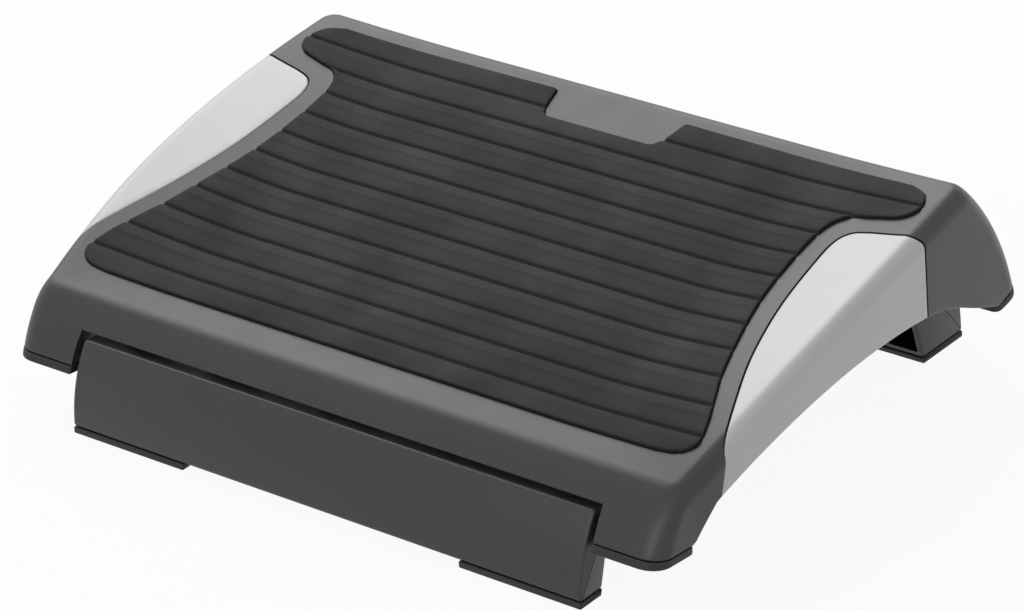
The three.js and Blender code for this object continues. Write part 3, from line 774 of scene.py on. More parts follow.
def station_line(station):
    """All points of one station's line, from the outer pole to the inner one."""
    kind, share, foot, _ = station
    thickness = wall_thickness(kind, outline_point(kind, share, WALL_PROBE, 0)[1])
    rim_round = NOTCH_ROUND + (RIM_ROUND - NOTCH_ROUND) * foot
    inner_round = min(RIM_ROUND, thickness - rim_round)
    line = cap_rows(station, 0, CAP_SHARES) + wall_rows(station, 0, rim_round)
    for drawn, rise in reversed(arc_steps(rim_round, RIM_ROWS)[:-1]):
        line.append(station_point(station, rim_level(station, drawn, rise), drawn, 1))
    for drawn, rise in arc_steps(inner_round, RIM_ROWS)[:-1]:
        inset = thickness - drawn
        line.append(station_point(station, rim_level(station, inset, rise), inset, 1))
    line += reversed(wall_rows(station, thickness, inner_round))
    line += reversed(cap_rows(station, thickness, CAP_SHARES))
    return line


def casing_skin(name, finish):
    right = [station_line(station) for station in STATIONS]
    left = [[(-x, y, z) for x, y, z in line] for line in reversed(right[1:-1])]
    lines = right + left
    rows = len(lines[0])
    points = [point for line in lines for point in line]
    faces = []
    for at in range(len(lines)):
        here, after = at * rows, (at + 1) % len(lines) * rows
        for row in range(rows - 1):
            faces.append((here + row, here + row + 1, after + row + 1, after + row))
    made = make_piece(name, to_floor(points), faces, finish)
    work = bmesh.new()
    work.from_mesh(made.data)
    bmesh.ops.remove_doubles(work, verts=work.verts, dist=SAME_PLACE * MM)
    bmesh.ops.dissolve_degenerate(work, edges=work.edges, dist=NO_LENGTH * MM)
    bmesh.ops.recalc_face_normals(work, faces=work.faces)
    work.to_mesh(made.data)
    work.free()
    shade(made.data)
    return made


casing = report(casing_skin("casing", shell_finish))

# %% [markdown]
# The mat's outline
#
# The rubber mat is cut with a waist: it is widest at its front corners and behind the side panels,
# where it ends in two rounded ears. Half of the outline is given by points and the other half is
# its mirror image. At the middle of the back there is a bare place in the frame, so the outline
# steps forwards round it.

# %% The mat's outline
MAT_PROUD = 1.8
MAT_RECESS = 1.3
MAT_CLEARANCE = 0.6
MAT_FRONT_CORNER_SHARES = [(0.85, -0.711), (0.895, -0.705)]
MAT_EDGE_SHARES = [
    (0.922, -0.692), (0.94, -0.667), (0.943, -0.635), (0.922, -0.555), (0.888, -0.46), (0.85, -0.345),
    (0.79, -0.08), (0.769, 0.12), (0.768, 0.295), (0.799, 0.377), (0.863, 0.402), (0.926, 0.424),
    (0.954, 0.466), (0.951, 0.512), (0.93, 0.556), (0.886, 0.582),
]
MAT_NOTCH_SHARES = [(0.2, 0.59), (0.197, 0.563), (0.186, 0.5), (0.168, 0.46)]
MAT_NOTCH_ROUND = 6
MAT_SPAN_STEPS = 6


def mirrored(half):
    half = np.asarray(half, float)
    return np.vstack([half, half[::-1] * (-1, 1)])


def mat_outline():
    edge = spline(MAT_EDGE_SHARES, MAT_SPAN_STEPS)
    half = [*MAT_FRONT_CORNER_SHARES, *edge, *MAT_NOTCH_SHARES]
    return rounded(mirrored(half) * (HALF_WIDTH, HALF_DEPTH / COS), MAT_NOTCH_ROUND)


MAT_OUTLINE = mat_outline()
print("mat outline of", len(MAT_OUTLINE), "points")

# %% [markdown]
# The recess under the mat
#
# The mat lies in a shallow recess of the same outline, a little larger. A cutter of that shape is
# taken out of the casing with a Boolean modifier. The cutter swells with the sides, so the
# recess has the same depth everywhere.

# %% Cut the recess
CUTTER_HEIGHT = 12
RECESS_SPACING = 3
RECESS_GRID = (np.arange(-216, 217, 12.0), np.arange(-132, 112, 12.0))


def over_platform(height):
    """A skin at a height over the swelling top, for a flat outline of across and along."""
    def skin(flat, depth):
        across, along = flat.T
        level = height(depth) if callable(height) else np.full(len(flat), float(height))
        return to_floor(np.column_stack([across, along, level + lift(across, along, level)]))
    return skin


recess_outline = grown(MAT_OUTLINE, MAT_CLEARANCE)
recess = panel("recess_cutter", recess_outline, [0], RECESS_SPACING, RECESS_GRID,
               over_platform(CUTTER_HEIGHT), over_platform(-MAT_RECESS))
carve(casing, [recess])
report(casing)

# %% [markdown]
# The side panels' outline
#
# Each silver panel lies on the top, wraps over the edge and runs down the side wall. To draw its
# outline on a curved surface, the surface is unrolled: one coordinate runs along the side, and the
# other runs from the top over the round and down the wall. A paper pattern for a shoe is made in
# the same way. The inner edge comes from points on the top, and the lower edge is the skirt's.

# %% The panel's outline on the unrolled side
PANEL_EDGE_SHARES = [
    (1.03, -0.666), (1.0, -0.627), (0.95, -0.485), (0.89, -0.29), (0.845, -0.06), (0.825, 0.16),
    (0.824, 0.26), (0.845, 0.31), (0.885, 0.328), (0.945, 0.338), (1.0, 0.35), (1.022, 0.375),
    (1.03, 0.387),
]
PANEL_SPAN_STEPS = 7
PANEL_THICKNESS = 2.4
QUARTER = SIDE_ROUND * math.pi / 2
DOWN_RANGE = (-70.0, 130.0)
DOWN_HALVINGS = 40
LOWER_STEPS = 60
ALONG_STEPS = 8


def side_skin(along, down, inset):
    """A point of the right side: down runs out along the top, over the round, down the wall."""
    turn = np.clip(down / SIDE_ROUND, 0, math.pi / 2)
    radius = SIDE_ROUND - inset
    level = radius * np.cos(turn) - SIDE_ROUND - np.maximum(down - QUARTER, 0)
    wall = HALF_WIDTH + SWELL_OUT * swell(along) + SIDE_DRAFT * level - inset
    across = wall - radius * (1 - np.sin(turn)) + np.minimum(down, 0)
    return np.stack([across, along, level + lift(across, along, level)], axis=-1)


def along_at(y, down):
    """Where a line across the floor at y meets the unrolled side."""
    along = y / COS
    for _ in range(ALONG_STEPS):
        along = (y + float(side_skin(along, down, 0)[2]) * SIN) / COS
    return along


def down_at(y, test):
    """How far down the unrolled side a test first fails, on the line at y."""
    low, high = DOWN_RANGE
    for _ in range(DOWN_HALVINGS):
        middle = (low + high) / 2
        point = side_skin(along_at(y, middle), middle, 0)
        low, high = (middle, high) if test(point) else (low, middle)
    return low


def panel_outline(below=0.0):
    """The panel's outline of along and down: its inner edge, then the skirt's lower edge."""
    edge = []
    for share_x, share_y in spline(PANEL_EDGE_SHARES, PANEL_SPAN_STEPS):
        x, y = share_x * HALF_WIDTH, share_y * HALF_DEPTH
        down = down_at(y, lambda point, x=x: point[0] < x)
        if down < QUARTER:
            edge.append((along_at(y, down), down))
    front_y, rear_y = (PANEL_EDGE_SHARES[at][1] * HALF_DEPTH for at in (0, -1))
    lower = []
    for y in np.linspace(rear_y, front_y, LOWER_STEPS):
        height = skirt_height(y) - below
        down = down_at(y, lambda point, height=height: floor_height(point) > height)
        lower.append((along_at(y, down), down))
    return np.array(edge + lower)


PANEL_OUTLINE = panel_outline()
print("panel runs from", PANEL_OUTLINE.min(axis=0).round(1), "to", PANEL_OUTLINE.max(axis=0).round(1))

# %% [markdown]
# The pockets for the panels
#
# On the real casing each panel drops into a pocket, so that only a fine dark line shows round it.
# The pocket's cutter is made on the same unrolled side, a little larger than the panel and running
# out past the lower edge.

# %% Cut the pockets
PANEL_GAP = 0.35
POCKET_GAP = 0.6
POCKET_DEPTH = 2.7
POCKET_REACH = 6
POCKET_SPACING = 2
TOP_LINES, ROUND_LINES, WALL_LINES = (-60, -4, 5.0), (-2, 18, 1.6), (20, 100, 6.0)
PANEL_GRID = (np.arange(-130, 80, 5.0),
              np.concatenate([np.arange(*lines) for lines in (TOP_LINES, ROUND_LINES, WALL_LINES)]))


def on_side(hand, inset):
    """A skin on the right or left side at an inset, for a flat outline of along and down."""
    def skin(flat, depth):
        drawn = inset(depth) if callable(inset) else float(inset)
        return to_floor(side_skin(flat[:, 0], flat[:, 1], drawn) * (hand, 1, 1))
    return skin


pocket_outline = grown(panel_outline(POCKET_REACH), POCKET_GAP)
pockets = [panel(f"pocket_cutter_{hand}", pocket_outline, [0], POCKET_SPACING, PANEL_GRID,
                 on_side(hand, -POCKET_REACH), on_side(hand, POCKET_DEPTH)) for hand in (-1, 1)]
carve(casing, pockets)
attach(casing, "platform")
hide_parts("platform_shell")
report(casing)

# %% [markdown]
# The side panels
#
# The panel itself is a sheet of even thickness whose rim is rounded over by less than a
# millimetre. The rim catches a thin bright line of light all round, which is what makes a thin
# part look thick enough to be real.

# %% Make the side panels
PANEL_RIM = 0.8
PANEL_RINGS = [0, 0.06, 0.2, 0.45, 0.8]
PANEL_SPACING = 1.6


def rim_drop(radius):
    """How far a rounded rim lies below the face, at a distance from the edge."""
    def drop(depth):
        left = np.clip(radius - depth, 0, radius)
        return radius - np.sqrt(radius ** 2 - left ** 2)
    return drop


HANDS = {"left": -1, "right": 1}
for name, hand in HANDS.items():
    side_panel = panel(f"side_panel_{name}", grown(PANEL_OUTLINE, -PANEL_GAP), PANEL_RINGS, PANEL_SPACING,
                       PANEL_GRID, on_side(hand, rim_drop(PANEL_RIM)),
                       on_side(hand, PANEL_THICKNESS), paint_finish)
    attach(side_panel, "platform")
    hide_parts(f"side_insert_{name}")
    report(side_panel)

# %% [markdown]
# The mat's sheet
#
# The mat is first made as a plain sheet with a soft rim. Its grid is dense in front of and behind
# each place where a groove will be pressed, and wide between them. A number on each point says
# whether it belongs to the upper skin, so that the grooves are pressed from above only.

# %% Make the mat's plain sheet
GROOVE_COUNT = 11
GROOVE_PITCH = 21.3
GROOVE_CLOSING = 0.109
GROOVE_FIRST = 62.2 - HALF_DEPTH
GROOVE_WIDTH = 3.6
GROOVE_DEPTH = 1.3
CREASE_OFFSET = 7.4
CREASE_WIDTH = 1.6
CREASE_HEIGHT = 0.15
GROOVE_ROW_SHARES = (-1.1, -0.75, -0.5, -0.25, 0, 0.25, 0.5, 0.75, 1.1)
PLAIN_GROOVES = 2
CREASE_ROW_SHARES = (-1, -0.5, 0, 0.5, 1)
ROWS_BETWEEN = (5.5, 9.5)
LEFT_LINES, MIDDLE_LINES, RIGHT_LINES = (-216, -99, 4.5), (-90, 91, 15), (99, 217, 4.5)
MAT_SPACING = 1.3
MAT_BASE = 0.3
MAT_RIM = 0.8
MAT_RINGS = [0, 0.06, 0.2, 0.45, 0.8]


def groove_place(number):
    return GROOVE_FIRST + number * (GROOVE_PITCH - GROOVE_CLOSING * number)


def mat_rows():
    rows = []
    for number in range(-1, GROOVE_COUNT + 1):
        place = groove_place(number)
        rows += [place + offset * GROOVE_WIDTH / 2 for offset in GROOVE_ROW_SHARES]
        rows += [place - CREASE_OFFSET + offset * CREASE_WIDTH / 2 for offset in CREASE_ROW_SHARES]
        rows += [place + offset for offset in ROWS_BETWEEN]
    return np.array(sorted(rows))


mat_columns = np.concatenate([np.arange(*lines) for lines in (LEFT_LINES, MIDDLE_LINES, RIGHT_LINES)])
mat = panel("mat", MAT_OUTLINE, MAT_RINGS, MAT_SPACING, (mat_columns, mat_rows()),
            lambda flat, depth: np.column_stack([flat, MAT_PROUD - rim_drop(MAT_RIM)(depth)]),
            lambda flat, depth: np.column_stack([flat, np.full(len(flat), MAT_BASE - MAT_RECESS)]),
            mat_finish)
half_count = len(mat.data.vertices) // 2
upper = mat.data.attributes.new("upper", "FLOAT", "POINT")
upper.data.foreach_set("value", [1.0] * half_count + [0.0] * half_count)
report(mat)

# %% [markdown]
# Pressing the grooves
#
# Eleven grooves run across the mat, and their spacing closes a little towards the back. Cutting
# eleven boxes out would leave hard corners that moulded rubber doesn't have. Here Geometry Nodes
# presses them: a Repeat zone goes from groove to groove, and every point near the groove's line
# sinks along a smooth curve. A second run raises a much finer crease beside each groove, but not
# at the first and the last one, where the outline comes too close. The sizes are named inputs, so
# the same tree could press another mat.

# %% A node tree that presses lines into a sheet
def new_tree(name, inputs):
    tree = bpy.data.node_groups.new(name, "GeometryNodeTree")
    tree.interface.new_socket("Geometry", in_out="INPUT", socket_type="NodeSocketGeometry")
    for label, kind in inputs:
        tree.interface.new_socket(label, in_out="INPUT", socket_type=f"NodeSocket{kind}")
    tree.interface.new_socket("Geometry", in_out="OUTPUT", socket_type="NodeSocketGeometry")
    return tree, tree.nodes.new("NodeGroupInput"), tree.nodes.new("NodeGroupOutput")


def sum_node(tree, operation, *values):
    """One step of arithmetic in a node tree."""
    made = tree.nodes.new("ShaderNodeMath")
    made.operation = operation
    for socket, value in zip(made.inputs, values):
        if isinstance(value, (int, float)):
            socket.default_value = value
        else:
            tree.links.new(value, socket)
    return made.outputs["Value"]


def press_tree():
    tree, start, end = new_tree("press_lines", [
        ("Count", "Int"), ("First", "Float"), ("Pitch", "Float"), ("Closing", "Float"),
        ("Width", "Float"), ("Depth", "Float")])
    begin = tree.nodes.new("GeometryNodeRepeatInput")
    finish = tree.nodes.new("GeometryNodeRepeatOutput")
    begin.pair_with_output(finish)
    finish.repeat_items.new("FLOAT", "Number")
    tree.links.new(start.outputs["Count"], begin.inputs["Iterations"])
    tree.links.new(start.outputs["Geometry"], begin.inputs["Geometry"])
    number = begin.outputs["Number"]
    closing = sum_node(tree, "MULTIPLY", start.outputs["Closing"], number)
    spaced = sum_node(tree, "MULTIPLY", number, sum_node(tree, "SUBTRACT", start.outputs["Pitch"], closing))
    line = sum_node(tree, "ADD", start.outputs["First"], spaced)
    place = tree.nodes.new("GeometryNodeInputPosition")
    parts = tree.nodes.new("ShaderNodeSeparateXYZ")
    tree.links.new(place.outputs["Position"], parts.inputs["Vector"])
    away = sum_node(tree, "ABSOLUTE", sum_node(tree, "SUBTRACT", parts.outputs["Y"], line))
    share = sum_node(tree, "DIVIDE", away, sum_node(tree, "MULTIPLY", start.outputs["Width"], 0.5))
    soft = tree.nodes.new("ShaderNodeMapRange")
    soft.interpolation_type = "SMOOTHSTEP"
    soft.inputs["To Min"].default_value = 1
    soft.inputs["To Max"].default_value = 0
    tree.links.new(share, soft.inputs["Value"])
    skin = tree.nodes.new("GeometryNodeInputNamedAttribute")
    skin.data_type = "FLOAT"
    skin.inputs["Name"].default_value = "upper"
    sunk = sum_node(tree, "MULTIPLY", soft.outputs["Result"], skin.outputs["Attribute"])
    drop = sum_node(tree, "MULTIPLY", sunk, sum_node(tree, "MULTIPLY", start.outputs["Depth"], -1))
    offset = tree.nodes.new("ShaderNodeCombineXYZ")
    tree.links.new(drop, offset.inputs["Z"])
    move = tree.nodes.new("GeometryNodeSetPosition")
    tree.links.new(begin.outputs["Geometry"], move.inputs["Geometry"])
    tree.links.new(offset.outputs["Vector"], move.inputs["Offset"])
    tree.links.new(move.outputs["Geometry"], finish.inputs["Geometry"])
    tree.links.new(sum_node(tree, "ADD", number, 1), finish.inputs["Number"])
    tree.links.new(finish.outputs["Geometry"], end.inputs["Geometry"])
    return tree


def run_tree(piece, tree, values):
    """Runs a node tree on a piece with the given inputs and keeps what it makes."""
    step = piece.modifiers.new(tree.name, "NODES")
    step.node_group = tree
    sockets = {item.name: item.identifier for item in tree.interface.items_tree if item.in_out == "INPUT"}
    for label, value in values.items():
        step[sockets[label]] = value
    return settle(piece)


press = press_tree()
run_tree(mat, press, {
    "Count": GROOVE_COUNT, "First": GROOVE_FIRST * MM, "Pitch": GROOVE_PITCH * MM,
    "Closing": GROOVE_CLOSING * MM, "Width": GROOVE_WIDTH * MM, "Depth": GROOVE_DEPTH * MM})
run_tree(mat, press, {
    "Count": GROOVE_COUNT - PLAIN_GROOVES, "First": (groove_place(1) - CREASE_OFFSET) * MM,
    "Pitch": (GROOVE_PITCH - 2 * GROOVE_CLOSING) * MM,
    "Closing": GROOVE_CLOSING * MM, "Width": CREASE_WIDTH * MM, "Depth": -CREASE_HEIGHT * MM})
report(mat)

# %% [markdown]
# Laying the mat
#
# The pressed sheet is still flat. Now each point rises with the swelling sides and the whole
# sheet is tilted with the platform, so the mat lies evenly in its recess.

# %% Lay the mat on the platform
def lay(piece):
    points = np.empty(len(piece.data.vertices) * 3)
    piece.data.vertices.foreach_get("co", points)
    x, y, z = points.reshape(-1, 3).T / MM
    laid = to_floor(np.column_stack([x, y, z + lift(x, y, z)])) * MM
    piece.data.vertices.foreach_set("co", laid.ravel())
    piece.data.update()
    return piece


lay(mat)
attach(mat, "platform")
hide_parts("rubber_mat")
report(mat)

# %% [markdown]
# Corner feet
#
# Under each corner the casing is closed by a block that carries a rubber pad. Both follow the
# casing's rounded corner in plan, so their outline is taken from the same stations as the skin,
# at the height where the pad lies. The heel's outer corner is rounded as well.

# %% Blocks and pads under the corners
HEEL_ROUND = 5
HEEL_CLEARANCE = 6
PAD_GAP = 0.35
PAD_THICKNESS = 4.4
PAD_RIM = 0.7
PAD_OUTSET = 0.2
PAD_TOP_RIM = 0.3
BLOCK_INSET = 1.4
BLOCK_SIDE_GAP = 0.4
BLOCK_RIM = [(1, 0.3), (0.3, 0.6), (0, 1.2)]
BLOCK_TOPS = {"front": 13, "rear": 30}
HEEL_INNER_ROUND = 1.5
HEEL_ROOM = 0.9


def corner_stations(end):
    """The stations whose lines end on a corner foot, beyond its heel."""
    other = "rear" if end is FRONT else "front"
    made = []
    for station in STATIONS:
        if station[2] < 1 or station[0].startswith(other):
            continue
        _, along, level = station_point(station, rim_level(station, 0, 0), 0)
        if (along * COS - level * SIN - end["heel"]) * end["side"] > HEEL_CLEARANCE:
            made.append(station)
    return made


def corner_plan(end, inset, above, inner_x):
    """Plan of a corner foot at a height over the lower edge, in floor coordinates."""
    made = []
    for station in CORNER_STATION_SETS[end["side"]]:
        x, along, level = station_point(station, rim_level(station, inset, above), inset)
        made.append((x, along * COS - level * SIN))
    heel = end["heel"]
    if end is FRONT:
        made = [(inner_x, made[0][1])] + made + [(made[-1][0], heel), (inner_x, heel)]
    else:
        made = [(inner_x, heel), (made[0][0], heel)] + made + [(inner_x, made[-1][1])]
    return np.array(made)


def soften_heel(end, plan):
    """Rounds the heel's outer corner and lightly rounds the two inner ones."""
    count = len(plan)
    heel_outer = count - 2 if end is FRONT else 1
    sharp = {0: HEEL_INNER_ROUND, count - 1: HEEL_INNER_ROUND, heel_outer: HEEL_ROUND}
    made = []
    for at, here in enumerate(plan):
        if at not in sharp:
            made.append(here)
            continue
        before, after = plan[at - 1] - here, plan[(at + 1) % count] - here
        room_before = min(sharp[at], np.linalg.norm(before) * HEEL_ROOM)
        room_after = min(sharp[at], np.linalg.norm(after) * HEEL_ROOM)
        a = here + before / np.linalg.norm(before) * room_before
        c = here + after / np.linalg.norm(after) * room_after
        made += corner_curve(a, here, c)
    return np.array(made)


def stacked(name, rings, finish):
    """A closed block through rings of points that all have the same count."""
    points = np.vstack(rings)
    return make_piece(name, points, ring_faces(len(rings[0]), len(points)), finish)


def corner_stack(name, end, hand, inset, heights, finish, inner_x=FOOT_INNER_X):
    rings = []
    for drawn, above in heights:
        plan = grown(soften_heel(end, corner_plan(end, inset, above, inner_x)), -drawn)
        z = foot_height(end, plan[:, 1]) + above
        rings.append(np.column_stack([plan[:, 0] * hand, plan[:, 1], z]))
    return stacked(name, rings, finish)


CORNER_STATION_SETS = {end["side"]: corner_stations(end) for end in (FRONT, REAR)}
PAD_HEIGHTS = [(drawn, rise - PAD_GAP - PAD_THICKNESS) for drawn, rise in arc_steps(PAD_RIM)]
PAD_HEIGHTS += [(0, -PAD_GAP - PAD_THICKNESS / 2), (0, -PAD_GAP - PAD_TOP_RIM), (PAD_TOP_RIM, -PAD_GAP)]
for end_name, end in (("front", FRONT), ("rear", REAR)):
    block_top = BLOCK_TOPS[end_name]
    heights = BLOCK_RIM + [(0, block_top / 2), (0, block_top)]
    for name, hand in HANDS.items():
        pad = corner_stack(f"corner_pad_{end_name}_{name}", end, hand, -PAD_OUTSET, PAD_HEIGHTS, pad_finish)
        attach(pad, "platform")
        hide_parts(f"corner_pad_{end_name}_{name}")
        block = corner_stack(f"foot_block_{end_name}_{name}", end, hand, BLOCK_INSET, heights, shell_finish,
                             FOOT_INNER_X + BLOCK_SIDE_GAP)
        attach(block, "platform")
report(pad)
report(block)

# %% [markdown]
# The two legs
#
# A leg is a wide moulded bar with a hollow back. Its front face lies on the same arc as the wall
# above it, so that the closed footrest looks like one body. The bar is a slab on its side view,
# drawn out along the width, with its long edges rounded in the outline and its ends rounded by the
# slab. The hollow is cut out in three long pieces, which leave solid webs for the hinges.

# %% Bars of the legs
LEG_HALF_WIDTH = 177
LEG_WALL = 3
LEG_EDGE = 1.8
LEG_LEAN = 0.287
LEG_BASE = 4.3
LEG_ARC_STEPS = 12
HOLLOW_ROUND = 1.5
HOLLOW_RIM = 1.2
ROD_RIM = 0.4
OPEN_BACK = 30
HINGE_X = 150
LUG_HALF = 4
CLEVIS = (138, 162)
LEGS = {
    "front": {"end": FRONT, "depth": 17.1, "height": 51, "hinge": (-136, 56), "relief": 10.5,
              "arm": (-16, 16), "ear_top": (66, 70.5)},
    "rear": {"end": REAR, "depth": 37.6, "height": 77, "hinge": (128, 84), "relief": 17,
             "arm": (11, 22), "ear_top": (122, 107)},
}


def along_x(a, b, c):
    """Draws an outline of the side view out along the width."""
    return c, a, b


def leg_inner(leg, z):
    return leg["end"]["side"] * (HALF_DEPTH - leg["depth"] - LEG_LEAN * z)


def leg_outline(leg, low, high, inset, back):
    """Side view of the bar, or of its hollow: the arc at the face and the leaning back."""
    end = leg["end"]
    arc = [(arc_y(end, z, inset), z) for z in np.linspace(low, high, LEG_ARC_STEPS + 1)]
    return arc + [(leg_inner(leg, high) + back, high), (leg_inner(leg, low) + back, low)]


def rod(name, radius, low, high, y, z, finish=None, steps=40):
    turns = [2 * math.pi * step / steps for step in range(steps)]
    outline = [(y + radius * math.cos(turn), z + radius * math.sin(turn)) for turn in turns]
    return slab(name, outline, low, high, ROD_RIM, along_x, finish)


def span(hand, inner, outer):
    return (inner, outer) if hand > 0 else (-outer, -inner)


def leg_bar(name, leg):
    outline = rounded(leg_outline(leg, LEG_BASE, leg["height"], 0, 0), LEG_EDGE)
    bar = slab(name, outline, -LEG_HALF_WIDTH, LEG_HALF_WIDTH, LEG_EDGE, along_x, shell_finish)
    open_back = -leg["end"]["side"] * OPEN_BACK
    hollow = leg_outline(leg, LEG_BASE + LEG_WALL, leg["height"] - LEG_WALL, LEG_WALL, open_back)
    hollow = rounded(hollow, HOLLOW_ROUND)
    spans = [(LUG_HALF - HINGE_X, HINGE_X - LUG_HALF)]
    spans += [span(hand, HINGE_X + LUG_HALF, LEG_HALF_WIDTH - LEG_WALL) for hand in (-1, 1)]
    cutters = [slab("hollow_cutter", hollow, low, high, HOLLOW_RIM, along_x) for low, high in spans]
    y, z = leg["hinge"]
    cutters += [rod("relief_cutter", leg["relief"], *span(hand, *CLEVIS), y, z) for hand in (-1, 1)]
    return carve(bar, cutters)


for name, leg in LEGS.items():
    leg["bar"] = leg_bar(f"{name}_leg_bar", leg)
    report(leg["bar"])

# %% [markdown]
# Rows of equal parts
#
# Ribs stiffen the hollow legs, and each leg carries three stop tabs. Such rows could be made by
# copying in a loop, but Geometry Nodes says what the row is: a source, a count and a spacing. The
# tree sets points on a line, puts the source on each of them, and turns the copies into real
# geometry at the end. The result becomes a plain mesh, which is what an export needs.

# %% A node tree for a row
def finish_tree(tree, copies, start, end):
    """Ends a tree of copies: makes them real geometry and gives them their finish."""
    real = tree.nodes.new("GeometryNodeRealizeInstances")
    paint = tree.nodes.new("GeometryNodeSetMaterial")
    tree.links.new(copies.outputs["Instances"], real.inputs["Geometry"])
    tree.links.new(real.outputs["Geometry"], paint.inputs["Geometry"])
    tree.links.new(start.outputs["Finish"], paint.inputs["Material"])
    tree.links.new(paint.outputs["Geometry"], end.inputs["Geometry"])


def source_copies(tree, start, points):
    """Copies of the source object on the points of a tree."""
    source = tree.nodes.new("GeometryNodeObjectInfo")
    copies = tree.nodes.new("GeometryNodeInstanceOnPoints")
    tree.links.new(start.outputs["Source"], source.inputs["Object"])
    tree.links.new(source.outputs["Geometry"], copies.inputs["Instance"])
    tree.links.new(points, copies.inputs["Points"])
    return copies


def row_tree():
    tree, start, end = new_tree("row_of_parts", [
        ("Source", "Object"), ("Finish", "Material"), ("Count", "Int"), ("First", "Float"),
        ("Spacing", "Float")])
    line = tree.nodes.new("GeometryNodeMeshLine")
    for label, place in (("First", "Start Location"), ("Spacing", "Offset")):
        across = tree.nodes.new("ShaderNodeCombineXYZ")
        tree.links.new(start.outputs[label], across.inputs["X"])
        tree.links.new(across.outputs["Vector"], line.inputs[place])
    tree.links.new(start.outputs["Count"], line.inputs["Count"])
    finish_tree(tree, source_copies(tree, start, line.outputs["Mesh"]), start, end)
    return tree


ROW = row_tree()


def row_of(name, source, count, first, spacing, finish):
    """A row of copies of a source along X, which uses the source up."""
    holder = make_piece(name, [(0, 0, 0)], [])
    run_tree(holder, ROW, {"Source": source, "Finish": finish, "Count": count,
                           "First": first * MM, "Spacing": spacing * MM})
    bpy.data.objects.remove(source)
    return report(holder)


# %% [markdown]
# Ribs, tabs and lugs of the legs
#
# Six ribs divide the hollow into seven cells. The stop tabs stand up behind the casing's wall and
# keep the leg from swinging too far. A lug at each hinge is a round eye on a short arm, with a
# hole for the pin. The ribs' and tabs' rims sink a little into the bar, so no gap shows.

# %% Fit out the legs
LEG_RIB = 2.5
LEG_CELLS = 7
RIB_SINK = 0.8
TAB_WIDTH = 30
TAB_SPACING = 80
TAB_RISE = 9
TAB_THICKNESS = 4
TAB_CLEARANCE = 3.3
LUG_RADIUS = 7.5
ARM_HALF = 6
BORE_RADIUS = 3.3
BORE_REACH = 3
ARM_RIM = 0.4
ARM_DRAW = 0.2
RIB_RIM = 0.3
TAB_RIM = 0.6
TAB_OVERLAP = 0.5
TAB_LEVELS = 6


def lug_arm(leg):
    y, z = leg["hinge"]
    run = np.array([leg["arm"][0], -leg["arm"][1]], float)
    across = np.array([-run[1], run[0]]) / np.linalg.norm(run) * ARM_HALF
    here = np.array([y, z], float)
    return [here + across, here + run + across, here + run - across, here - across]


def add_lugs(bar, leg):
    y, z = leg["hinge"]
    for hand in (-1, 1):
        low, high = span(hand, HINGE_X - LUG_HALF, HINGE_X + LUG_HALF)
        eye = rod("eye", LUG_RADIUS, low, high, y, z, shell_finish)
        arm = slab("arm", lug_arm(leg), low + ARM_DRAW, high - ARM_DRAW, ARM_RIM, along_x, shell_finish)
        carve(bar, [eye, arm], "UNION")
        carve(bar, [rod("bore", BORE_RADIUS, low - BORE_REACH, high + BORE_REACH, y, z)])


for name, leg in LEGS.items():
    end, body = leg["end"], f"{name}_leg"
    add_lugs(leg["bar"], leg)
    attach(leg["bar"], body)
    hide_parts(body)
    rib_outline = grown(leg_outline(leg, LEG_BASE, leg["height"], 0, 0), -RIB_SINK)
    rib = slab("rib", rib_outline, -LEG_RIB / 2, LEG_RIB / 2, RIB_RIM, along_x)
    cell = 2 * (HINGE_X - LUG_HALF) / LEG_CELLS
    ribs = row_of(f"{name}_leg_ribs", rib, LEG_CELLS - 1, -cell * (LEG_CELLS / 2 - 1), cell, shell_finish)
    tab_low, tab_high = leg["height"] - LEG_WALL + TAB_OVERLAP, leg["height"] + TAB_RISE
    draw = WALL + TAB_CLEARANCE
    levels = np.linspace(tab_low, tab_high, TAB_LEVELS)
    tab_outline = [(arc_y(end, z, draw), z) for z in levels]
    tab_outline += [(arc_y(end, z, draw + TAB_THICKNESS), z) for z in levels[::-1]]
    tab = slab("tab", tab_outline, -TAB_WIDTH / 2, TAB_WIDTH / 2, TAB_RIM, along_x)
    tabs = row_of(f"{name}_leg_stop_tabs", tab, 3, -TAB_SPACING, TAB_SPACING, shell_finish)
    for piece in (ribs, tabs):
        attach(piece, body)

# %% [markdown]
# The legs' pads
#
# Each leg stands on two strips of black rubber with chamfered ends. They are slabs too, and stand
# a few tenths of a millimetre proud of the leg's face, so that their edge can be seen.

# %% Pads under the legs
LEG_PAD = 4
LEG_PAD_LENGTH = 81
PAD_PROUD = 0.35
LEG_PAD_CORNER = 0.9
LEG_PAD_CHAMFER = 1.2

for leg_name, leg in LEGS.items():
    end = leg["end"]
    pad_outline = leg_outline(leg, 0, LEG_PAD, -PAD_PROUD, -end["side"] * PAD_PROUD)
    pad_outline = rounded([pad_outline[0], pad_outline[LEG_ARC_STEPS], *pad_outline[-2:]], LEG_PAD_CORNER)
    for name, hand in HANDS.items():
        ends = span(hand, LEG_HALF_WIDTH - LEG_PAD_LENGTH, LEG_HALF_WIDTH)
        pad = slab(f"{leg_name}_leg_pad_{name}", pad_outline, *ends, LEG_PAD_CHAMFER, along_x,
                   pad_finish)
        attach(pad, f"{leg_name}_leg")
        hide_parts(f"{leg_name}_leg_pad_{name}")
report(pad)

# %% [markdown]
# Stiffeners under the platform
#
# Turned over, the platform shows a grid of low ribs and the ears that hold the hinge pins. The
# cross ribs follow the swelling roof, so each has its own outline. The long ribs are all alike and
# come from the row tree.

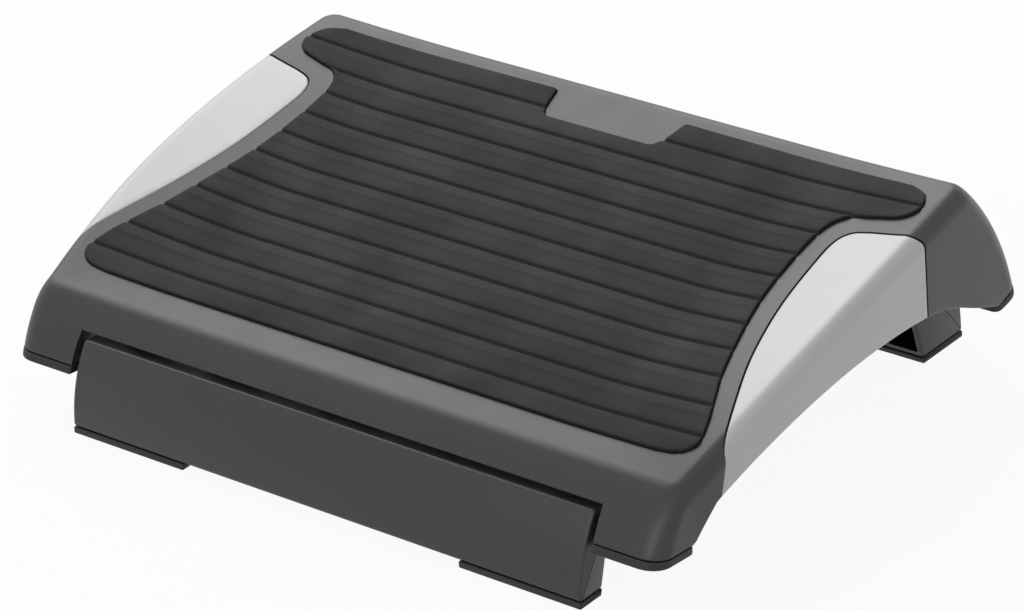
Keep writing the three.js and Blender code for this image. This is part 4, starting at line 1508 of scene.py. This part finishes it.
# %% Ribs under the platform
RIB_WIDTH = 2.5
RIB_LEVEL = -11.2
ROOF_SINK = 1.6
LONG_RIB_REACH = 105
CROSS_RIBS = [-70, 0, 70]
CROSS_RIB_LEVEL = -12
CROSS_RIB_CLEARANCE = 3
CROSS_RIB_STEPS = 60
LONG_RIB_SPACING = 100.8


def across_platform(a, b, c):
    """Draws an outline of the front view out along the platform."""
    return to_floor(np.column_stack([a, c, b])).T


def cross_rib(along):
    reach = side_edge(along, CROSS_RIB_LEVEL, ROOF_SINK + CROSS_RIB_CLEARANCE)
    xs = np.linspace(-reach, reach, CROSS_RIB_STEPS)
    top = [(x, float(lift(x, along, 0)) - ROOF_SINK) for x in xs]
    return [(-reach, RIB_LEVEL), *top, (reach, RIB_LEVEL)]


for number, along in enumerate(CROSS_RIBS):
    rib = slab(f"cross_rib_{number + 1}", cross_rib(along), along - RIB_WIDTH / 2, along + RIB_WIDTH / 2,
               RIB_RIM, across_platform, shell_finish, steps=2)
    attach(rib, "platform")
long_corners = [(-LONG_RIB_REACH, RIB_LEVEL), (LONG_RIB_REACH, RIB_LEVEL),
                (LONG_RIB_REACH, -ROOF_SINK), (-LONG_RIB_REACH, -ROOF_SINK)]
long_rib = slab("long_rib", long_corners, -RIB_WIDTH / 2, RIB_WIDTH / 2, RIB_RIM,
                lambda a, b, c: to_floor(np.column_stack([c, a, b])).T)
long_ribs = row_of("long_ribs", long_rib, 3, -LONG_RIB_SPACING, LONG_RIB_SPACING, shell_finish)
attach(long_ribs, "platform")

# %% [markdown]
# Copies at marked places
#
# Hinge ears, pins, washers, clips and screws stand in pairs that mirror each other, so a row won't
# do. A second tree copies a source onto marked points, and each point says how its copy is turned.
# The places of the pins, washers, clips and screws come straight from the imported model's boxes,
# so each of those copies is where its node is. The ears' places are given with the legs' numbers.

# %% A node tree for marked places
def places_tree():
    tree, start, end = new_tree("copies_at_places", [
        ("Source", "Object"), ("Finish", "Material"), ("Scale", "Float")])
    copies = source_copies(tree, start, start.outputs["Geometry"])
    turn = tree.nodes.new("GeometryNodeInputNamedAttribute")
    turn.data_type = "FLOAT_VECTOR"
    turn.inputs["Name"].default_value = "turn"
    tree.links.new(turn.outputs["Attribute"], copies.inputs["Rotation"])
    tree.links.new(start.outputs["Scale"], copies.inputs["Scale"])
    finish_tree(tree, copies, start, end)
    return tree


PLACES = places_tree()


def copies_at(name, source, places, finish, nodes=(), left_turn=math.pi):
    """Copies of a source at points in millimetres: those on the left are turned, half round if not said."""
    holder = make_piece(name, places, [])
    turn = holder.data.attributes.new("turn", "FLOAT_VECTOR", "POINT")
    for mark, place in zip(turn.data, places):
        mark.vector = (0, 0, left_turn if place[0] < 0 else 0)
    run_tree(holder, PLACES, {"Source": source, "Finish": finish, "Scale": 1.0})
    bpy.data.objects.remove(source)
    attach(holder, "platform")
    if nodes:
        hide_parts(*nodes)
    return report(holder)


def node_middle(node):
    low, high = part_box(node)
    return (low + high) / 2 / MM


def node_length(node):
    low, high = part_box(node)
    return (high.x - low.x) / MM


# %% [markdown]
# Hinge ears
#
# Two ears hold each pin, one on either side of the lug. They hang from the platform like a plate
# with a rounded lower end.

# %% Ears for the pins
EAR_RADIUS = 8
EAR_HALF = 2
EAR_INNER, EAR_OUTER = 143.7, 157.6
EAR_TURN_STEPS = 16
EAR_RIM = 0.5
EAR_BORE_REACH = 5

for name, leg in LEGS.items():
    y, z = leg["hinge"]
    turns = [math.pi * (1 + step / EAR_TURN_STEPS) for step in range(EAR_TURN_STEPS + 1)]
    lower = [(EAR_RADIUS * math.cos(turn), EAR_RADIUS * math.sin(turn)) for turn in turns]
    low_top, high_top = leg["ear_top"]
    upper = [(EAR_RADIUS, high_top - z), (-EAR_RADIUS, low_top - z)]
    ear = slab("ear", lower + upper, -EAR_HALF, EAR_HALF, EAR_RIM, along_x, shell_finish)
    carve(ear, [rod("bore", BORE_RADIUS, -EAR_BORE_REACH, EAR_BORE_REACH, 0, 0)])
    places = [(hand * x, y, z) for hand in (-1, 1) for x in (EAR_INNER, EAR_OUTER)]
    copies_at(f"{name}_hinge_ears", ear, places, shell_finish, left_turn=0)

# %% [markdown]
# Pins, washers, clips and screws
#
# These are turned parts: a profile of radius and length spun round its axis. A lathe in a workshop
# does just that, and Blender's Spin tool would too, but a few lines of mesh code give the same
# closed shape with its seam already joined. The clip is a flat ring with a mouth, so it is a slab.
# The screws get a cross recess in their heads.

# %% Turned parts
TURN_STEPS = 32
PIN_RADIUS = 3
PIN_HEAD = (5, 2)
CLIP_GROOVE = 2.3
CLIP_GROOVE_SPAN = (1.6, 3.8)
CLIP_GROOVE_SLOPE = 0.2
SCREW_HEAD = (3.5, 2)
SCREW_RADIUS = 1.5
SOFT = 0.4


def turned(name, profile, finish=None):
    """A closed solid of revolution about X, from a profile of length and radius."""
    points, faces = [(profile[0][0], 0, 0)], []
    inner = profile[1:-1]
    for along, radius in inner:
        for step in range(TURN_STEPS):
            turn = 2 * math.pi * step / TURN_STEPS
            points.append((along, radius * math.cos(turn), radius * math.sin(turn)))
    points.append((profile[-1][0], 0, 0))
    for step in range(TURN_STEPS):
        after = (step + 1) % TURN_STEPS
        faces.append((0, 1 + step, 1 + after))
        for ring in range(len(inner) - 1):
            low = 1 + ring * TURN_STEPS
            high = low + TURN_STEPS
            faces.append((low + step, high + step, high + after, low + after))
        last = 1 + (len(inner) - 1) * TURN_STEPS
        faces.append((len(points) - 1, last + after, last + step))
    return make_piece(name, points, faces, finish)


HINGE_NODES = [f"{end}_{hand}" for end in LEGS for hand in HANDS]


def hinge_places(kind):
    return [tuple(node_middle(f"{kind}_{where}")) for where in HINGE_NODES]


half = node_length("hinge_pin_front_right") / 2
head_radius, head_length = PIN_HEAD
shoulder = half - head_length
groove_low, groove_high = (edge - half for edge in CLIP_GROOVE_SPAN)
pin = turned("pin", [
    (-half, 0), (-half, PIN_RADIUS - SOFT), (SOFT - half, PIN_RADIUS), (groove_low, PIN_RADIUS),
    (groove_low + CLIP_GROOVE_SLOPE, CLIP_GROOVE), (groove_high - CLIP_GROOVE_SLOPE, CLIP_GROOVE),
    (groove_high, PIN_RADIUS),
    (shoulder, PIN_RADIUS), (shoulder, head_radius - SOFT), (shoulder + SOFT, head_radius),
    (half - SOFT, head_radius), (half, head_radius - SOFT), (half, 0)])
copies_at("hinge_pins", pin, hinge_places("hinge_pin"), steel_finish,
          [f"hinge_pin_{where}" for where in HINGE_NODES])

# %% [markdown]
# Washers and clips
#
# A nylon washer beside each lug gives the hinge its grip, and a spring clip snaps into the pin's
# groove. The washer is a slab with a hole, and the clip is open on one side, like a letter C.

# %% Washers and spring clips
WASHER_HALF = 0.5
WASHER_RADIUS = 6.5
CLIP_HALF = 0.5
CLIP_RADIUS = 5.5
CLIP_BORE = 2.6
CLIP_MOUTH = math.radians(60)
CLIP_STEPS = 32
CLIP_RIM = 0.15

washer = rod("washer", WASHER_RADIUS, -WASHER_HALF, WASHER_HALF, 0, 0)
carve(washer, [rod("bore", BORE_RADIUS, -BORE_REACH, BORE_REACH, 0, 0)])
copies_at("friction_washers", washer, hinge_places("friction_washer"), nylon_finish,
          [f"friction_washer_{where}" for where in HINGE_NODES])
shares = np.arange(CLIP_STEPS + 1) / CLIP_STEPS
turns = -math.pi / 2 + CLIP_MOUTH / 2 + (2 * math.pi - CLIP_MOUTH) * shares
ring = [(CLIP_RADIUS * math.cos(turn), CLIP_RADIUS * math.sin(turn)) for turn in turns]
ring += [(CLIP_BORE * math.cos(turn), CLIP_BORE * math.sin(turn)) for turn in turns[::-1]]
clip = slab("clip", ring, -CLIP_HALF, CLIP_HALF, CLIP_RIM, along_x)
copies_at("pin_clips", clip, hinge_places("pin_clip"), steel_finish,
          [f"pin_clip_{where}" for where in HINGE_NODES])

# %% [markdown]
# Screws for the panels
#
# Three screws hold each side panel from inside. Their heads are domed and have a cross recess.

# %% Screws
CROSS_LONG, CROSS_THIN, CROSS_DEPTH = 2.2, 0.45, 1.1
CUTTER_REACH = 2
CUTTER_RIM = 0.1
SCREW_NODES = [f"insert_screw_{hand}_{place}" for hand in HANDS for place in ("front", "middle", "rear")]
half = node_length("insert_screw_right_middle") / 2
head_radius, head_length = SCREW_HEAD
face = head_length - half
screw = turned("screw", [
    (-half, 0), (0.15 - half, head_radius * 0.6), (0.6 - half, head_radius * 0.93),
    (1 - half, head_radius), (face, head_radius), (face, SCREW_RADIUS), (half - SOFT, SCREW_RADIUS),
    (half, SCREW_RADIUS - SOFT), (half, 0)])
corners = ((-1, -1), (1, -1), (1, 1), (-1, 1))
cross = [[(a * CROSS_LONG, b * CROSS_THIN) for a, b in corners]]
cross.append([(b, a) for a, b in cross[0]])
span_x = (-half - CUTTER_REACH, CROSS_DEPTH - half)
cutters = [slab("cross_cutter", outline, *span_x, CUTTER_RIM, along_x) for outline in cross]
carve(screw, cutters)
copies_at("panel_screws", screw, [tuple(node_middle(node)) for node in SCREW_NODES], steel_finish,
          SCREW_NODES)

# %% [markdown]
# Floor, light and camera
#
# The photograph was taken in a white studio: a broad soft light from above and behind draws a pale
# sheen over the top, and weaker light fills the front and the side. A large area lamp gives that
# sheen, and a second one in front keeps the walls from going black. The floor is pale. It turns
# nearly white where the camera looks at it, straight or in a reflection, but keeps the object's
# shadow.

# %% Floor and backdrop
FLOOR_HALF = 4000
FLOOR_COLOUR = (0.9, 0.9, 0.9, 1)
FLOOR_WHITENESS = 0.93


def looked_at(nodes, links):
    """One where the camera looks straight at a surface, in a reflection or through glass."""
    path = nodes.new("ShaderNodeLightPath")
    value = path.outputs["Is Camera Ray"]
    for ray in ("Is Glossy Ray", "Is Transmission Ray"):
        either = nodes.new("ShaderNodeMath")
        either.operation = "MAXIMUM"
        links.new(value, either.inputs[0])
        links.new(path.outputs[ray], either.inputs[1])
        value = either.outputs["Value"]
    return value


def pale_floor():
    material = bpy.data.materials.new("pale_floor")
    material.use_nodes = True
    nodes, links = material.node_tree.nodes, material.node_tree.links
    shader = nodes["Principled BSDF"]
    shader.inputs["Base Color"].default_value = FLOOR_COLOUR
    shader.inputs["Roughness"].default_value = 0.9
    glow = nodes.new("ShaderNodeEmission")
    seen = nodes.new("ShaderNodeMath")
    seen.operation = "MULTIPLY"
    seen.inputs[1].default_value = FLOOR_WHITENESS
    mix = nodes.new("ShaderNodeMixShader")
    links.new(looked_at(nodes, links), seen.inputs[0])
    links.new(seen.outputs["Value"], mix.inputs["Fac"])
    links.new(shader.outputs["BSDF"], mix.inputs[1])
    links.new(glow.outputs["Emission"], mix.inputs[2])
    links.new(mix.outputs["Shader"], nodes["Material Output"].inputs["Surface"])
    return material


corners = [(-FLOOR_HALF, -FLOOR_HALF, 0), (FLOOR_HALF, -FLOOR_HALF, 0),
           (FLOOR_HALF, FLOOR_HALF, 0), (-FLOOR_HALF, FLOOR_HALF, 0)]
floor = make_piece("floor", corners, [(0, 1, 2, 3)], pale_floor())

# %% Lamps and surroundings
WORLD_STRENGTH = 0.35
LAMP_AIM = (0, 0, 0.1)
KEY_POWER = 34
FILL_POWER = 15


def area_lamp(name, place, aim, size, power):
    lamp = bpy.data.lights.new(name, "AREA")
    lamp.shape = "RECTANGLE"
    lamp.size, lamp.size_y = size
    lamp.energy = power
    made = bpy.data.objects.new(name, lamp)
    made.location = place
    made.rotation_euler = (Vector(aim) - Vector(place)).to_track_quat("-Z", "Y").to_euler()
    bpy.context.scene.collection.objects.link(made)
    return made


area_lamp("key_from_behind", (-1.3, 0.95, 1.75), LAMP_AIM, (2.4, 1.8), KEY_POWER)
area_lamp("fill_from_front", (0.2, -2.8, 1.4), LAMP_AIM, (1.6, 1.6), FILL_POWER)

world = bpy.data.worlds.new("studio")
bpy.context.scene.world = world
world.use_nodes = True
nodes, links = world.node_tree.nodes, world.node_tree.links
strength = nodes.new("ShaderNodeMapRange")
strength.inputs["To Min"].default_value = WORLD_STRENGTH
strength.inputs["To Max"].default_value = 1
links.new(looked_at(nodes, links), strength.inputs["Value"])
nodes["Background"].inputs["Color"].default_value = (1, 1, 1, 1)
links.new(strength.outputs["Result"], nodes["Background"].inputs["Strength"])
bpy.context.scene.view_settings.view_transform = "Standard"

# %% [markdown]
# The camera
#
# The photograph looks down on the front right corner from a good distance, so parallel edges
# hardly converge. A long lens far away gives the same. The place and the turn were found by
# matching corners of the model with corners in the photograph, and the small roll is part of it.

# %% The camera
CAMERA_PLACE = (1.5749, -1.8708, 1.3191)
CAMERA_AZIMUTH = math.radians(40.14)
CAMERA_ELEVATION = math.radians(27.43)
CAMERA_ROLL = math.radians(-4)
LENS = 175.78

back = Vector((math.sin(CAMERA_AZIMUTH) * math.cos(CAMERA_ELEVATION),
               -math.cos(CAMERA_AZIMUTH) * math.cos(CAMERA_ELEVATION), math.sin(CAMERA_ELEVATION)))
level_right = Vector((math.cos(CAMERA_AZIMUTH), math.sin(CAMERA_AZIMUTH), 0))
level_up = back.cross(level_right)
right = level_right * math.cos(CAMERA_ROLL) + level_up * math.sin(CAMERA_ROLL)
up = level_up * math.cos(CAMERA_ROLL) - level_right * math.sin(CAMERA_ROLL)
lens = bpy.data.cameras.new("camera")
lens.sensor_width = 36
lens.lens = LENS
camera = bpy.data.objects.new("camera", lens)
camera.matrix_world = Matrix((
    (right.x, up.x, back.x, CAMERA_PLACE[0]), (right.y, up.y, back.y, CAMERA_PLACE[1]),
    (right.z, up.z, back.z, CAMERA_PLACE[2]), (0, 0, 0, 1)))
bpy.context.scene.collection.objects.link(camera)
bpy.context.scene.camera = camera
print("camera at", CAMERA_PLACE, "with a", LENS, "mm lens")
